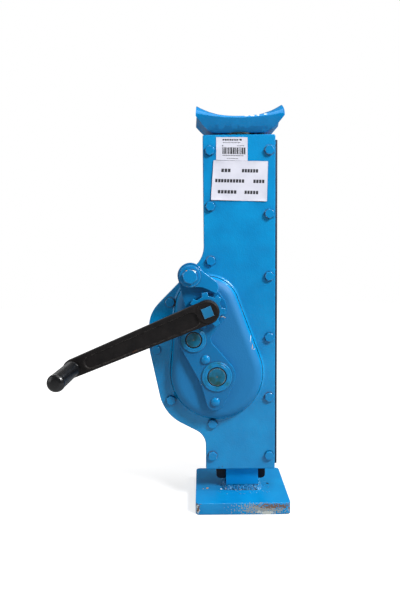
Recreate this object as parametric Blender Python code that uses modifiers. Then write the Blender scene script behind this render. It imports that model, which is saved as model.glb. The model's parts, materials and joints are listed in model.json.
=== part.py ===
"""Mechanical rack jack, 5 tonne class, about 740 mm tall with 349 mm of lift.

A toothed bar is welded upright on a base plate.  A tall closed housing climbs the
bar when its crank is turned, and carries a swivelling horned saddle on its top.

The frame is +Z up, with the crank side facing -Y.  The origin is on the underside
of the base plate, under the middle of the housing.  Every size below is in
millimetres, and the helpers turn them into metres.
"""

import math

import bmesh
import bpy
from mathutils import Matrix, Vector

MM = 0.001
GAP = 0.3                     # air between pieces that touch or slide on each other
ARC_STEP = math.radians(12)   # largest turn of one facet of a rounded outline

# ---------------------------------------------------------------- driving dimensions
# Foot
BASE_WIDTH, BASE_DEPTH, BASE_THICKNESS = 173.0, 152.0, 22.0
BASE_OFFSET_X = 1.4
BASE_CORNER = 8.0
WELD_LEG = 7.0

# Housing, as planes of constant Y from the crank side to the back
COVER_FRONT, COVER_BACK = -32.0, -27.0
FLANGE_BACK = -20.7
PLATE_FRONT, PLATE_BACK = 27.3, 33.0
HOUSING_BOTTOM, HOUSING_TOP = 66.8, 683.6
HALF_COLUMN = 65.0
WALL = 8.0
SIDE_BAR_LEFT, SIDE_BAR_RIGHT = 61.2, 69.2
SIDE_BAR_BOTTOM, SIDE_BAR_TOP = 75.0, 675.0
TOP_PLATE_BOTTOM, TOP_PLATE_TOP = 671.0, 685.4

# Gear train: centre of each shaft (x, z), module and numbers of teeth
PRESSURE_ANGLE = math.radians(25)
TOOTH_CLEARANCE = 0.2         # taken off each flank
CRANK_AXIS = (-60.0, 374.1)
MODULE_1, CRANK_TEETH, LAYSHAFT_GEAR_TEETH = 3.5, 8, 26
MODULE_2, LAYSHAFT_TEETH, MAIN_GEAR_TEETH = 4.5, 8, 27
MODULE_RACK, RACK_PINION_TEETH = 6.0, 7
CRANK_TO_LAYSHAFT = math.radians(245.3)      # direction of one centre from the other
LAYSHAFT_TO_MAIN = math.radians(-58.6)
RACK_ADDENDUM, RACK_PINION_ADDENDUM = 3.7, 5.4
FIRST_STAGE = (-5.3, 6.7)     # front and back of the layshaft gear
SECOND_STAGE = (-46.0, -33.0)

# Rack bar
RACK_FRONT, RACK_BACK = -18.0, 18.0
RACK_RIGHT, RACK_TOP = 34.8, 656.0
RACK_SPACES_BELOW, RACK_SPACES_ABOVE = 1, 20

# Pressed dome over the second gear stage, and the bearing bridge riveted on it
DOME_FRONT, DOME_SHEET, DOME_EDGE = -54.0, 4.0, 9.0
DOME_RADIUS_CRANK, DOME_RADIUS_MAIN = 59.0, 86.0
BRIDGE_FRONT, BRIDGE_BACK = -64.3, -54.3
BUSH_FLANGE = 2.7
SHAFT_FRONT, SHAFT_BACK = -66.6, 34.0
UPPER_RIVET, LOWER_RIVET = (-64.1, 284.3), (-47.3, 206.5)
RIVET_SHANK, RIVET_HEAD, RIVET_HEIGHT = 5.0, 8.4, 5.2

# Ratchet and pawl
RATCHET_FRONT, RATCHET_BACK = -77.7, -67.7
RATCHET_TEETH, RATCHET_TIP, RATCHET_ROOT = 7, 32.0, 25.0
RATCHET_PHASE = math.radians(98.5)
PAWL_PIVOT = (-89.5, 433.8)
PAWL_LIFTED = math.radians(4.6)      # from dropped in a tooth gap to just clear of the tips
PAWL_BOLT_RADIUS, PAWL_BOLT_ACROSS, PAWL_BOLT_HEAD = 8.0, 24.0, 9.0
PAWL_WASHER_RADIUS, PAWL_WASHER_THICKNESS = 18.5, 2.4

# Crank
CRANK_RADIUS = 251.0
CRANK_REST = math.radians(202.2)
SQUARE_END, SQUARE_FRONT = 17.5, -111.0
ARM_FRONT, ARM_BACK = -108.0, -94.0
HUB_FRONT, HUB_BACK, HUB_RADIUS = -109.5, -78.1, 19.0
ARM_RADIUS_HUB, ARM_RADIUS_END = 20.5, 16.0
GRIP_FRONT, GRIP_RADIUS, SPINDLE_RADIUS = -208.0, 14.2, 6.5

# Saddle
SADDLE_X = 1.5
SADDLE_BOTTOM, SADDLE_HALF_DEPTH = 688.2, 40.0
SADDLE_PIN_RADIUS, SADDLE_PIN_BOTTOM = 15.0, 661.0

# Cover bolts: centres (x, z)
BOLT_SHANK, BOLT_HEAD_ACROSS, BOLT_HEAD_HEIGHT = 4.0, 16.5, 5.5
RIGHT_BOLTS = [(54.0, 93.5 + 112.4 * i) for i in range(6)]
LEFT_BOLTS = [(-52.5, 93.5)] + [(-52.5, 459.5 + 98.0 * i) for i in range(3)]
BULGE_BOLTS = [(-128.0, 385.0), (-155.0, 297.0), (-129.0, 201.5), (-52.0, 155.5)]
COVER_BOLTS = RIGHT_BOLTS + LEFT_BOLTS + BULGE_BOLTS


def polar(centre, radius, angle):
    """Point at a radius and an angle from a centre, in the upright plane."""
    return (centre[0] + radius * math.cos(angle), centre[1] + radius * math.sin(angle))


# ---------------------------------------------------------------- derived places
STAGE_1_CENTRES = MODULE_1 * (CRANK_TEETH + LAYSHAFT_GEAR_TEETH) / 2
STAGE_2_CENTRES = MODULE_2 * (LAYSHAFT_TEETH + MAIN_GEAR_TEETH) / 2
LAYSHAFT_AXIS = polar(CRANK_AXIS, STAGE_1_CENTRES, CRANK_TO_LAYSHAFT)
MAIN_AXIS = polar(LAYSHAFT_AXIS, STAGE_2_CENTRES, LAYSHAFT_TO_MAIN)
RACK_PITCH_RADIUS = MODULE_RACK * RACK_PINION_TEETH / 2
RACK_PITCH_LINE = MAIN_AXIS[0] + RACK_PITCH_RADIUS
RACK_LEFT = RACK_PITCH_LINE - RACK_ADDENDUM
GRIP_AXIS = polar(CRANK_AXIS, CRANK_RADIUS, CRANK_REST)

# ---------------------------------------------------------------- scene and helpers
for old in list(bpy.data.objects):
    bpy.data.objects.remove(old, do_unlink=True)

jack = bpy.data.collections.new("rack_jack")
tools = bpy.data.collections.new("cutters")
for collection in (jack, tools):
    bpy.context.scene.collection.children.link(collection)


def material(name, colour, roughness, metallic):
    made = bpy.data.materials.new(name)
    made.use_nodes = True
    shader = made.node_tree.nodes["Principled BSDF"]
    shader.inputs["Base Color"].default_value = (*colour, 1.0)
    shader.inputs["Roughness"].default_value = roughness
    shader.inputs["Metallic"].default_value = metallic
    made.diffuse_color = (*colour, 1.0)
    return made


BLUE = material("blue_paint", (0.01, 0.22, 0.55), 0.4, 0.0)
BLACK = material("black_paint", (0.015, 0.013, 0.012), 0.5, 0.0)
STEEL = material("greased_steel", (0.30, 0.31, 0.32), 0.35, 1.0)
GRIP = material("black_plastic", (0.02, 0.02, 0.022), 0.25, 0.0)
PAPER = material("label_paper", (0.80, 0.80, 0.80), 0.6, 0.0)


def pivot(name, x, y, z):
    """Empty on a joint's axis, which the pieces of one moving body hang from."""
    empty = bpy.data.objects.new(name, None)
    empty.location = Vector((x, y, z)) * MM
    jack.objects.link(empty)
    return empty


def place(obj, finish, parent=None):
    """Give an object its material and hang it from its pivot, where it stands."""
    obj.data.materials.clear()
    obj.data.materials.append(finish)
    if parent:
        obj.parent = parent
        obj.location = obj.location - parent.location
    return obj


def flat_outline(name, loops, low, high, upright):
    """Flat plate from a closed outline and its holes, as a filled and extruded curve.

    An upright plate is drawn in X and Z, and runs from y = low to y = high.
    A level plate is drawn in X and Y, and runs from z = low to z = high.
    """
    curve = bpy.data.curves.new(name, "CURVE")
    curve.dimensions = "2D"
    curve.fill_mode = "BOTH"
    curve.extrude = (high - low) / 2 * MM
    for loop in loops:
        spline = curve.splines.new("POLY")
        spline.points.add(len(loop) - 1)
        for point, (across, along) in zip(spline.points, loop):
            point.co = (across * MM, along * MM, 0.0, 1.0)
        spline.use_cyclic_u = True
    obj = bpy.data.objects.new(name, curve)
    jack.objects.link(obj)
    middle = (low + high) / 2 * MM
    if upright:
        obj.rotation_euler = (math.radians(90), 0.0, 0.0)
        obj.location = (0.0, middle, 0.0)
    else:
        obj.location = (0.0, 0.0, middle)
    return obj


def upright(name, loops, front, back):
    return flat_outline(name, loops, front, back, True)


def level(name, loops, bottom, top):
    return flat_outline(name, loops, bottom, top, False)


def as_mesh(obj):
    """Replace a curve object by a welded mesh object with the same name and place."""
    bpy.context.view_layer.update()
    evaluated = obj.evaluated_get(bpy.context.evaluated_depsgraph_get())
    mesh = bpy.data.meshes.new_from_object(evaluated)
    work = bmesh.new()
    work.from_mesh(mesh)
    bmesh.ops.remove_doubles(work, verts=work.verts, dist=0.01 * MM)
    if len(obj.data.splines) == 1:      # no holes, so each flat side becomes one face
        bmesh.ops.dissolve_limit(work, angle_limit=0.01, verts=work.verts, edges=work.edges)
    work.to_mesh(mesh)
    work.free()
    solid = bpy.data.objects.new("solid", mesh)
    jack.objects.link(solid)
    solid.matrix_world = obj.matrix_world
    name = obj.name
    bpy.data.objects.remove(obj, do_unlink=True)
    solid.name = name
    return solid


def round_edge(obj, depth, width, segments):
    """Bevel the outline edges of an upright mesh that lie in the plane y = depth."""
    bpy.context.view_layer.update()
    work = bmesh.new()
    work.from_mesh(obj.data)
    edges = [edge for edge in work.edges
             if all(abs((obj.matrix_world @ v.co).y - depth * MM) < 0.01 * MM for v in edge.verts)]
    bmesh.ops.bevel(work, geom=edges, offset=width * MM, segments=segments,
                    profile=0.5, affect="EDGES", clamp_overlap=True)
    work.to_mesh(obj.data)
    work.free()


def box(name, low, high):
    """Box between two opposite corners."""
    bpy.ops.mesh.primitive_cube_add(size=1.0)
    obj = bpy.context.object
    obj.name = name
    low, high = Vector(low) * MM, Vector(high) * MM
    obj.data.transform(Matrix.Diagonal((*(high - low), 1.0)))
    obj.location = (low + high) / 2
    return move_to(obj, jack)


def rod(name, centre, radius, front, back, sides=20, turn=0.0):
    """Prism or cylinder along Y, with its centre at (x, z)."""
    bpy.ops.mesh.primitive_cylinder_add(vertices=sides, radius=radius * MM, depth=(back - front) * MM)
    obj = bpy.context.object
    obj.name = name
    obj.data.transform(Matrix.Rotation(turn, 4, "Z"))
    obj.rotation_euler = (math.radians(90), 0.0, 0.0)
    obj.location = Vector((centre[0], (front + back) / 2, centre[1])) * MM
    return move_to(obj, jack)


def move_to(obj, collection):
    for owner in list(obj.users_collection):
        owner.objects.unlink(obj)
    collection.objects.link(obj)
    return obj


def combine(target, tool, operation):
    """Join a tool to a target, or cut the target with it."""
    move_to(tool, tools)
    tool.name = target.name + "_" + operation.lower()
    tool.hide_render = True
    tool.display_type = "WIRE"
    modifier = target.modifiers.new(operation.lower(), "BOOLEAN")
    modifier.operation = operation
    modifier.object = tool
    return target


def join(target, tool):
    return combine(target, tool, "UNION")


def cut(target, tool):
    return combine(target, tool, "DIFFERENCE")


def turned(name, profile, x, other, closed=False, along_y=True, steps=24):
    """Turned piece: a profile of (radius, depth) run round an axis by a Screw modifier.

    Along Y, depth is y, the profile's outer side runs from front to back, and the
    axis is at (x, z).  Otherwise depth is z, it runs from top to bottom, and the
    axis is at (x, y).
    """
    mesh = bpy.data.meshes.new(name)
    heights = [-depth if along_y else depth for _, depth in profile]
    points = [(radius * MM, 0.0, height * MM) for (radius, _), height in zip(profile, heights)]
    edges = [(i, i + 1) for i in range(len(points) - 1)]
    if closed:
        edges.append((len(points) - 1, 0))
    mesh.from_pydata(points, edges, [])
    obj = bpy.data.objects.new(name, mesh)
    jack.objects.link(obj)
    screw = obj.modifiers.new("turn", "SCREW")
    screw.axis = "Z"
    screw.steps = screw.render_steps = steps
    screw.use_merge_vertices = True
    screw.merge_threshold = 0.01 * MM
    if along_y:
        obj.rotation_euler = (math.radians(90), 0.0, 0.0)
        obj.location = (x * MM, 0.0, other * MM)
    else:
        obj.location = (x * MM, other * MM, 0.0)
    return obj


# ---------------------------------------------------------------- outlines
def circle(centre, radius, sides=16, start=0.0):
    return [polar(centre, radius, start + 2 * math.pi * i / sides) for i in range(sides)]


def belt(circles, closed=True):
    """Outline of a taut belt run counter-clockwise round circles (x, z, radius).

    A negative radius passes its circle on the other side, which makes a hollow
    corner, and radius 0 makes a sharp one.
    """
    count = len(circles)
    headings = []
    for i in range(count if closed else count - 1):
        x1, z1, r1 = circles[i]
        x2, z2, r2 = circles[(i + 1) % count]
        lean = math.asin((r2 - r1) / math.hypot(x2 - x1, z2 - z1))
        headings.append(math.atan2(z2 - z1, x2 - x1) - lean)
    points = []
    for i, (x, z, radius) in enumerate(circles):
        if radius == 0 or (not closed and i in (0, count - 1)):
            points.append((x, z))
            continue
        start, end = headings[i - 1], headings[i]
        turn = (end - start) % (2 * math.pi)
        if radius < 0 or turn > 1.75 * math.pi:
            turn -= 2 * math.pi
        if radius < 0 and turn < -1.75 * math.pi:
            turn += 2 * math.pi
        steps = max(1, math.ceil(abs(turn) / ARC_STEP))
        for k in range(steps + 1 if abs(turn) > 1e-6 else 1):
            heading = start + turn * k / steps
            points.append((x + radius * math.sin(heading), z - radius * math.cos(heading)))
    return points


def rounded_box(left, bottom, right, top, radius):
    """Corner circles of a rounded rectangle, counter-clockwise from the lower right."""
    return [(right - radius, bottom + radius, radius), (right - radius, top - radius, radius),
            (left + radius, top - radius, radius), (left + radius, bottom + radius, radius)]


def involute(angle):
    return math.tan(angle) - angle


def gear(centre, module, teeth, tooth_at, addendum=0.8, dedendum=1.05, flank_steps=3):
    """Outline of an involute gear with one tooth centred on the direction tooth_at."""
    pitch = module * teeth / 2
    base = pitch * math.cos(PRESSURE_ANGLE)
    tip, root = pitch + addendum * module, pitch - dedendum * module
    half_tooth = math.pi / (2 * teeth) + involute(PRESSURE_ANGLE) - TOOTH_CLEARANCE / pitch
    start = max(base, root)
    radii = [start + (tip - start) * k / flank_steps for k in range(flank_steps + 1)]
    flank = [(r, half_tooth - involute(math.acos(min(1.0, base / r)))) for r in radii]
    if root < base:
        flank.insert(0, (root, flank[0][1]))
    outline = []
    for i in range(teeth):
        middle = tooth_at + 2 * math.pi * i / teeth
        outline += [polar(centre, r, middle - half) for r, half in flank]
        outline += [polar(centre, r, middle + half) for r, half in reversed(flank)]
    return outline


def gap_towards(direction, teeth):
    """Where the nearest tooth stands when a gap of the gear faces a direction."""
    return direction + math.pi / teeth


def rack_outline():
    """Front view of the rack bar, with its teeth on the left."""
    pitch = math.pi * MODULE_RACK
    depth = RACK_PINION_ADDENDUM + 0.8
    slope = math.tan(PRESSURE_ANGLE)
    half_mouth = pitch / 4 + TOOTH_CLEARANCE + RACK_ADDENDUM * slope
    half_root = pitch / 4 + TOOTH_CLEARANCE - depth * slope
    outline = [(RACK_LEFT, BASE_THICKNESS + GAP), (RACK_RIGHT, BASE_THICKNESS + GAP),
               (RACK_RIGHT, RACK_TOP), (RACK_LEFT, RACK_TOP)]
    for k in range(RACK_SPACES_ABOVE, -RACK_SPACES_BELOW - 1, -1):
        middle = MAIN_AXIS[1] + k * pitch
        outline += [(RACK_LEFT, middle + half_mouth), (RACK_PITCH_LINE + depth, middle + half_root),
                    (RACK_PITCH_LINE + depth, middle - half_root), (RACK_LEFT, middle - half_mouth)]
    return outline


def housing_side(inset):
    """Circles down the housing's left side and round its gear bulge."""
    return [(-115.0, 487.7, -50.0 - inset), (-107.6, 339.6, 60.0 - inset),
            (-107.6, 302.1, 60.0 - inset), (-73.6, 225.5, 78.0 - inset), (-97.0, 113.5, -32.0 - inset)]


def housing_outline(right):
    corner = 3.0
    lower_right, upper_right, upper_left, lower_left = rounded_box(
        -HALF_COLUMN, HOUSING_BOTTOM, right, HOUSING_TOP, corner)
    return belt([lower_right, upper_right, upper_left, *housing_side(0.0), lower_left])


def bolt_holes():
    """Holes for the cover bolts, each turned a little so that no corners line up."""
    return [circle(bolt, BOLT_SHANK + GAP, 10, start=0.07 * i) for i, bolt in enumerate(COVER_BOLTS)]


# ---------------------------------------------------------------- foot
def make_foot():
    left = BASE_OFFSET_X - BASE_WIDTH / 2
    corners = rounded_box(left, -BASE_DEPTH / 2, left + BASE_WIDTH, BASE_DEPTH / 2, BASE_CORNER)
    place(level("base_plate", [belt(corners)], 0.0, BASE_THICKNESS), BLUE)
    place(upright("rack_bar", [rack_outline()], RACK_FRONT, RACK_BACK), BLUE)
    bar = (RACK_LEFT - GAP, RACK_FRONT - GAP, RACK_RIGHT + GAP, RACK_BACK + GAP)
    hole = [(bar[0], bar[1]), (bar[2], bar[1]), (bar[2], bar[3]), (bar[0], bar[3])]
    bead = rounded_box(bar[0] - WELD_LEG, bar[1] - WELD_LEG, bar[2] + WELD_LEG, bar[3] + WELD_LEG, 6.0)
    weld_bottom = BASE_THICKNESS + GAP
    place(level("foot_weld", [belt(bead), hole], weld_bottom, weld_bottom + WELD_LEG), BLUE)


# ---------------------------------------------------------------- housing
def dome_outline(inset):
    return belt([(*MAIN_AXIS, DOME_RADIUS_MAIN - inset), (*CRANK_AXIS, DOME_RADIUS_CRANK - inset)])


def make_cover(body):
    """Bolted front cover with the pressed dome, as one sheet."""
    cover = as_mesh(upright("front_cover", [housing_outline(HALF_COLUMN), *bolt_holes()],
                            COVER_FRONT, COVER_BACK))
    overlap = 2.0
    dome = as_mesh(upright("dome", [dome_outline(0.0)], DOME_FRONT, COVER_FRONT + overlap))
    round_edge(dome, DOME_FRONT, DOME_EDGE, 3)
    join(cover, dome)
    inside = as_mesh(upright("inside", [dome_outline(DOME_SHEET)],
                             DOME_FRONT + DOME_SHEET, COVER_BACK + overlap))
    round_edge(inside, DOME_FRONT + DOME_SHEET, DOME_EDGE - DOME_SHEET, 2)
    cut(cover, inside)
    for axis, opening in ((CRANK_AXIS, 13.5), (LAYSHAFT_AXIS, 14.5), (MAIN_AXIS, 17.0)):
        cut(cover, rod("opening", axis, opening, DOME_FRONT - overlap, DOME_FRONT + DOME_SHEET + overlap))
    place(cover, BLUE, body)


def make_housing_shell(body):
    """Back plate, walls, bolting flange and top plate, welded into one channel."""
    rear_holes = [circle(axis, radius, 24) for axis, radius, _ in rear_bearings()]
    outline = housing_outline(SIDE_BAR_LEFT - GAP)
    place(upright("back_plate", [outline, *rear_holes], PLATE_FRONT, PLATE_BACK), BLUE, body)

    wall_top = TOP_PLATE_BOTTOM - GAP
    outer = [(-HALF_COLUMN, wall_top, 0.0), *housing_side(0.0), (-HALF_COLUMN, HOUSING_BOTTOM, 0.0)]
    inner = [(-HALF_COLUMN + WALL, wall_top, 0.0), *housing_side(WALL),
             (-HALF_COLUMN + WALL, HOUSING_BOTTOM, 0.0)]
    wall = belt(outer, closed=False) + list(reversed(belt(inner, closed=False)))
    place(upright("left_wall", [wall], FLANGE_BACK + GAP, PLATE_FRONT - GAP), BLUE, body)

    place(box("right_side_bar", (SIDE_BAR_LEFT, COVER_BACK + GAP, SIDE_BAR_BOTTOM),
              (SIDE_BAR_RIGHT, PLATE_BACK, SIDE_BAR_TOP)), BLUE, body)

    flange_inner = [(41.0, 108.0, 4.0), (41.0, 641.0, 4.0), (-35.0, 641.0, 4.0),
                    (-115.0, 487.7, -76.0), (-107.6, 339.6, 38.0), (-107.6, 302.1, 38.0),
                    (-73.6, 225.5, 45.0), (-97.0, 113.5, -68.0), (-25.0, 108.0, 4.0)]
    place(upright("bolting_flange", [outline, belt(flange_inner), *bolt_holes()],
                  COVER_BACK + GAP, FLANGE_BACK), BLUE, body)

    left, right = -HALF_COLUMN, SIDE_BAR_LEFT - GAP
    front, back = FLANGE_BACK + GAP, PLATE_FRONT - GAP
    corners = [(left, front), (right, front), (right, back), (left, back)]
    pin_hole = circle((SADDLE_X, 0.0), SADDLE_PIN_RADIUS + GAP, 20)
    place(level("top_plate", [corners, pin_hole], TOP_PLATE_BOTTOM, TOP_PLATE_TOP), BLUE, body)


def make_guides(body):
    """Guides that hold the housing square on the rack bar."""
    bottom, top = 39.5, HOUSING_BOTTOM - GAP
    left, right, front = -45.0, 49.0, -12.0
    corner = 8.0
    outline = [(right - corner, bottom + corner, corner), (right, top, 0.0), (left, top, 0.0),
               (left + corner, bottom + corner, corner)]
    guide = as_mesh(upright("lower_guide", [belt(outline)], front, PLATE_FRONT - GAP))
    cut(guide, box("slot", (RACK_LEFT - GAP, front - 1.0, bottom - 1.0),
                   (RACK_RIGHT + GAP, RACK_BACK + GAP, top + 1.0)))
    place(guide, BLACK, body)

    mouth, outer_right, cheek = 0.0, 43.5, 5.1
    slot_front, slot_back, slot_right = RACK_FRONT - GAP, RACK_BACK + GAP, RACK_RIGHT + GAP
    channel_front, channel_back = slot_front - cheek, PLATE_FRONT - GAP
    channel = [(mouth, channel_front), (outer_right, channel_front), (outer_right, channel_back),
               (mouth, channel_back), (mouth, slot_back), (slot_right, slot_back),
               (slot_right, slot_front), (mouth, slot_front)]
    guide_bottom, guide_top = 232.0, 290.0      # beside the rack pinion
    place(level("rack_backing_guide", [channel], guide_bottom, guide_top), STEEL, body)


def bridge_outline():
    """Outline of the bearing bridge, from its pawl end down its left side."""
    return belt([(PAWL_PIVOT[0], PAWL_PIVOT[1] + 1.0, 22.5), (-126.0, 361.0, -30.0),
                 (*LAYSHAFT_AXIS, 28.0), (*MAIN_AXIS, 31.0), (*LOWER_RIVET, 16.5),
                 (*MAIN_AXIS, 33.5), (-43.0, 320.5, -11.0), (*CRANK_AXIS, 35.0)])


def front_bearings():
    """Axis, sleeve radius, bore, flange radius and recess radius of each front bush."""
    return [("crank", CRANK_AXIS, 16.0, 12.8, 22.0, 14.0),
            ("layshaft", LAYSHAFT_AXIS, 17.0, 13.5, 22.5, 15.1),
            ("main", MAIN_AXIS, 20.0, 16.1, 27.2, 17.6)]


def rear_bearings():
    """Axis, hole radius in the back plate, and journal radius of each rear bearing."""
    return [(CRANK_AXIS, 13.6, 9.0), (LAYSHAFT_AXIS, 15.6, 11.0), (MAIN_AXIS, 18.6, 14.0)]


def make_bearings(body):
    holes = [circle(axis, sleeve + GAP, 24) for _, axis, sleeve, *_ in front_bearings()]
    holes += [circle(rivet, RIVET_SHANK + GAP, 12) for rivet in (UPPER_RIVET, LOWER_RIVET)]
    holes.append(circle(PAWL_PIVOT, PAWL_BOLT_RADIUS + GAP, 16))
    bridge = upright("bearing_bridge", [bridge_outline(), *holes], BRIDGE_FRONT, BRIDGE_BACK)
    place(bridge, BLUE, body)

    flange_back = BRIDGE_FRONT - GAP
    flange_front = flange_back - BUSH_FLANGE
    for name, axis, sleeve, bore, flange, recess in front_bearings():
        profile = [(flange, flange_front), (flange, flange_back), (sleeve, flange_back),
                   (sleeve, BRIDGE_BACK), (bore, BRIDGE_BACK), (bore, flange_back),
                   (recess, flange_back - 0.5), (recess, flange_front)]
        place(turned("front_bush_" + name, profile, *axis, closed=True), STEEL, body)

    for name, (axis, hole, journal) in zip(("crank", "layshaft", "main"), rear_bearings()):
        sleeve, bore, flange = hole - GAP, journal + GAP, hole + 8.0
        back = PLATE_BACK + GAP
        floor = SHAFT_BACK + 2 * GAP
        profile = [(0.0, floor), (bore, floor), (bore, PLATE_FRONT), (sleeve, PLATE_FRONT),
                   (sleeve, back), (flange, back), (flange, back + 3.5), (flange - 2.0, back + 5.5),
                   (0.0, back + 5.5)]
        place(turned("rear_bearing_" + name, profile, *axis), BLUE, body)

    for name, rivet in (("upper", UPPER_RIVET), ("lower", LOWER_RIVET)):
        seat = BRIDGE_FRONT - GAP
        profile = [(0.0, seat - RIVET_HEIGHT), (4.5, seat - 4.4), (7.4, seat - 2.2), (RIVET_HEAD, seat),
                   (RIVET_SHANK, seat), (RIVET_SHANK, BRIDGE_BACK), (0.0, BRIDGE_BACK)]
        place(turned("bridge_rivet_" + name, profile, *rivet, steps=16), BLUE, body)


def hex_bolt(name, centre, across, shank, seat, head, tip):
    """Hexagon head bolt along Y with its head's underside at y = seat."""
    bolt = rod(name, centre, across / math.sqrt(3), seat - head, seat, sides=6, turn=math.radians(8))
    return join(bolt, rod("shank", centre, shank, seat - head / 2, tip, sides=10))


def make_fasteners(body):
    for number, centre in enumerate(COVER_BOLTS, start=1):
        bolt = hex_bolt(f"cover_bolt_{number:02d}", centre, BOLT_HEAD_ACROSS, BOLT_SHANK,
                        COVER_FRONT - GAP, BOLT_HEAD_HEIGHT, FLANGE_BACK)
        place(bolt, BLUE, body)


# ---------------------------------------------------------------- shafts and gears
def make_layshaft(body):
    front, back = SECOND_STAGE
    shoulder, gear_front, gear_back = back + 0.7, *FIRST_STAGE
    profile = [(0.0, SHAFT_FRONT), (13.2, SHAFT_FRONT), (13.2, shoulder), (16.0, shoulder),
               (16.0, gear_front - GAP), (13.0, gear_front - GAP), (13.0, gear_back + 5.0),
               (11.0, gear_back + 5.0), (11.0, SHAFT_BACK), (0.0, SHAFT_BACK)]
    shaft = turned("layshaft", profile, *LAYSHAFT_AXIS)
    teeth = gear(LAYSHAFT_AXIS, MODULE_2, LAYSHAFT_TEETH, LAYSHAFT_TO_MAIN)
    join(shaft, as_mesh(upright("pinion", [teeth], front - GAP, shoulder + GAP)))
    place(shaft, STEEL, body)

    towards_crank = CRANK_TO_LAYSHAFT - math.pi
    teeth = gear(LAYSHAFT_AXIS, MODULE_1, LAYSHAFT_GEAR_TEETH,
                 gap_towards(towards_crank, LAYSHAFT_GEAR_TEETH), flank_steps=2)
    wheel = upright("layshaft_gear", [teeth, circle(LAYSHAFT_AXIS, 13.0 + GAP, 24)], *FIRST_STAGE)
    place(wheel, STEEL, body)


def make_main_shaft(body):
    front, back = SECOND_STAGE
    seat = 16.0
    shoulder_front, shoulder_back, pinion_back = back + GAP, RACK_FRONT - 0.5, -RACK_FRONT - 0.5
    profile = [(0.0, SHAFT_FRONT), (15.8, SHAFT_FRONT), (15.8, front), (seat, front),
               (seat, shoulder_front), (18.0, shoulder_front), (18.0, shoulder_back),
               (14.0, shoulder_back), (14.0, SHAFT_BACK), (0.0, SHAFT_BACK)]
    shaft = turned("main_shaft", profile, *MAIN_AXIS)
    teeth = gear(MAIN_AXIS, MODULE_RACK, RACK_PINION_TEETH, 0.0,
                 addendum=RACK_PINION_ADDENDUM / MODULE_RACK,
                 dedendum=(RACK_ADDENDUM + 1.0) / MODULE_RACK, flank_steps=5)
    join(shaft, as_mesh(upright("pinion", [teeth], shoulder_back - GAP, pinion_back)))
    place(shaft, STEEL, body)

    towards_layshaft = LAYSHAFT_TO_MAIN + math.pi
    teeth = gear(MAIN_AXIS, MODULE_2, MAIN_GEAR_TEETH,
                 gap_towards(towards_layshaft, MAIN_GEAR_TEETH), flank_steps=2)
    wheel = upright("main_gear", [teeth, circle(MAIN_AXIS, seat + GAP, 24)], *SECOND_STAGE)
    place(wheel, STEEL, body)


def make_crank_shaft(body):
    journal, core, pinion_half = 12.5, 9.0, 8.3
    shaft = turned("crank_shaft", [(0.0, RATCHET_FRONT), (journal, RATCHET_FRONT), (journal, -8.0),
                                   (core, -8.0), (core, SHAFT_BACK), (0.0, SHAFT_BACK)], *CRANK_AXIS)
    teeth = gear(CRANK_AXIS, MODULE_1, CRANK_TEETH, CRANK_TO_LAYSHAFT, flank_steps=4)
    join(shaft, as_mesh(upright("pinion", [teeth], -pinion_half, pinion_half)))
    join(shaft, square_rod("square", SQUARE_END, SQUARE_FRONT, RATCHET_FRONT + 1.0))
    place(shaft, STEEL, body)


def square_rod(name, side, front, back):
    """Square prism on the crank's axis, its faces square to the crank arm."""
    turn = CRANK_REST + math.radians(45)
    return rod(name, CRANK_AXIS, side / math.sqrt(2), front, back, sides=4, turn=turn)


def make_ratchet(body):
    pitch = 2 * math.pi / RATCHET_TEETH
    half_tip, half_root = math.radians(9.0), math.radians(14.0)
    corners = ((-half_root, RATCHET_ROOT), (-half_tip, RATCHET_TIP), (half_tip, RATCHET_TIP),
               (half_root, RATCHET_ROOT))
    outline = [polar(CRANK_AXIS, radius, RATCHET_PHASE + i * pitch + offset)
               for i in range(RATCHET_TEETH) for offset, radius in corners]
    wheel = upright("ratchet_wheel", [outline, circle(CRANK_AXIS, 12.5 + GAP, 24)],
                    RATCHET_FRONT, RATCHET_BACK)
    place(wheel, BLUE, body)


def make_pawl(body, housing):
    """Pawl over the ratchet, drawn dropped in a tooth gap and then lifted clear."""
    dropped = belt([(*PAWL_PIVOT, 20.0), (-82.0, 375.0, -39.0), (-47.6, 402.5, 2.5),
                    (-57.5, 411.5, 15.5)])
    lifted = []
    for x, z in dropped:
        reach = math.hypot(x - PAWL_PIVOT[0], z - PAWL_PIVOT[1])
        angle = math.atan2(z - PAWL_PIVOT[1], x - PAWL_PIVOT[0])
        lifted.append(polar(PAWL_PIVOT, reach, angle + PAWL_LIFTED))
    hole = circle(PAWL_PIVOT, PAWL_BOLT_RADIUS + GAP)
    place(upright("pawl_lever", [lifted, hole], RATCHET_FRONT, RATCHET_BACK), BLUE, body)

    washer_back = RATCHET_FRONT - GAP
    washer_front = washer_back - PAWL_WASHER_THICKNESS
    bore = PAWL_BOLT_RADIUS + GAP
    ring = [(PAWL_WASHER_RADIUS, washer_front), (PAWL_WASHER_RADIUS, washer_back),
            (bore, washer_back), (bore, washer_front)]
    place(turned("pawl_washer", ring, *PAWL_PIVOT, closed=True), BLUE, housing)
    head_back = washer_front - GAP
    bolt = rod("pawl_bolt", PAWL_PIVOT, PAWL_BOLT_ACROSS / math.sqrt(3), head_back - PAWL_BOLT_HEAD,
               head_back, sides=6, turn=math.radians(12))
    join(bolt, rod("shank", PAWL_PIVOT, PAWL_BOLT_RADIUS, washer_front - 4.0, BRIDGE_BACK, sides=16))
    place(bolt, BLUE, housing)


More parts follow.
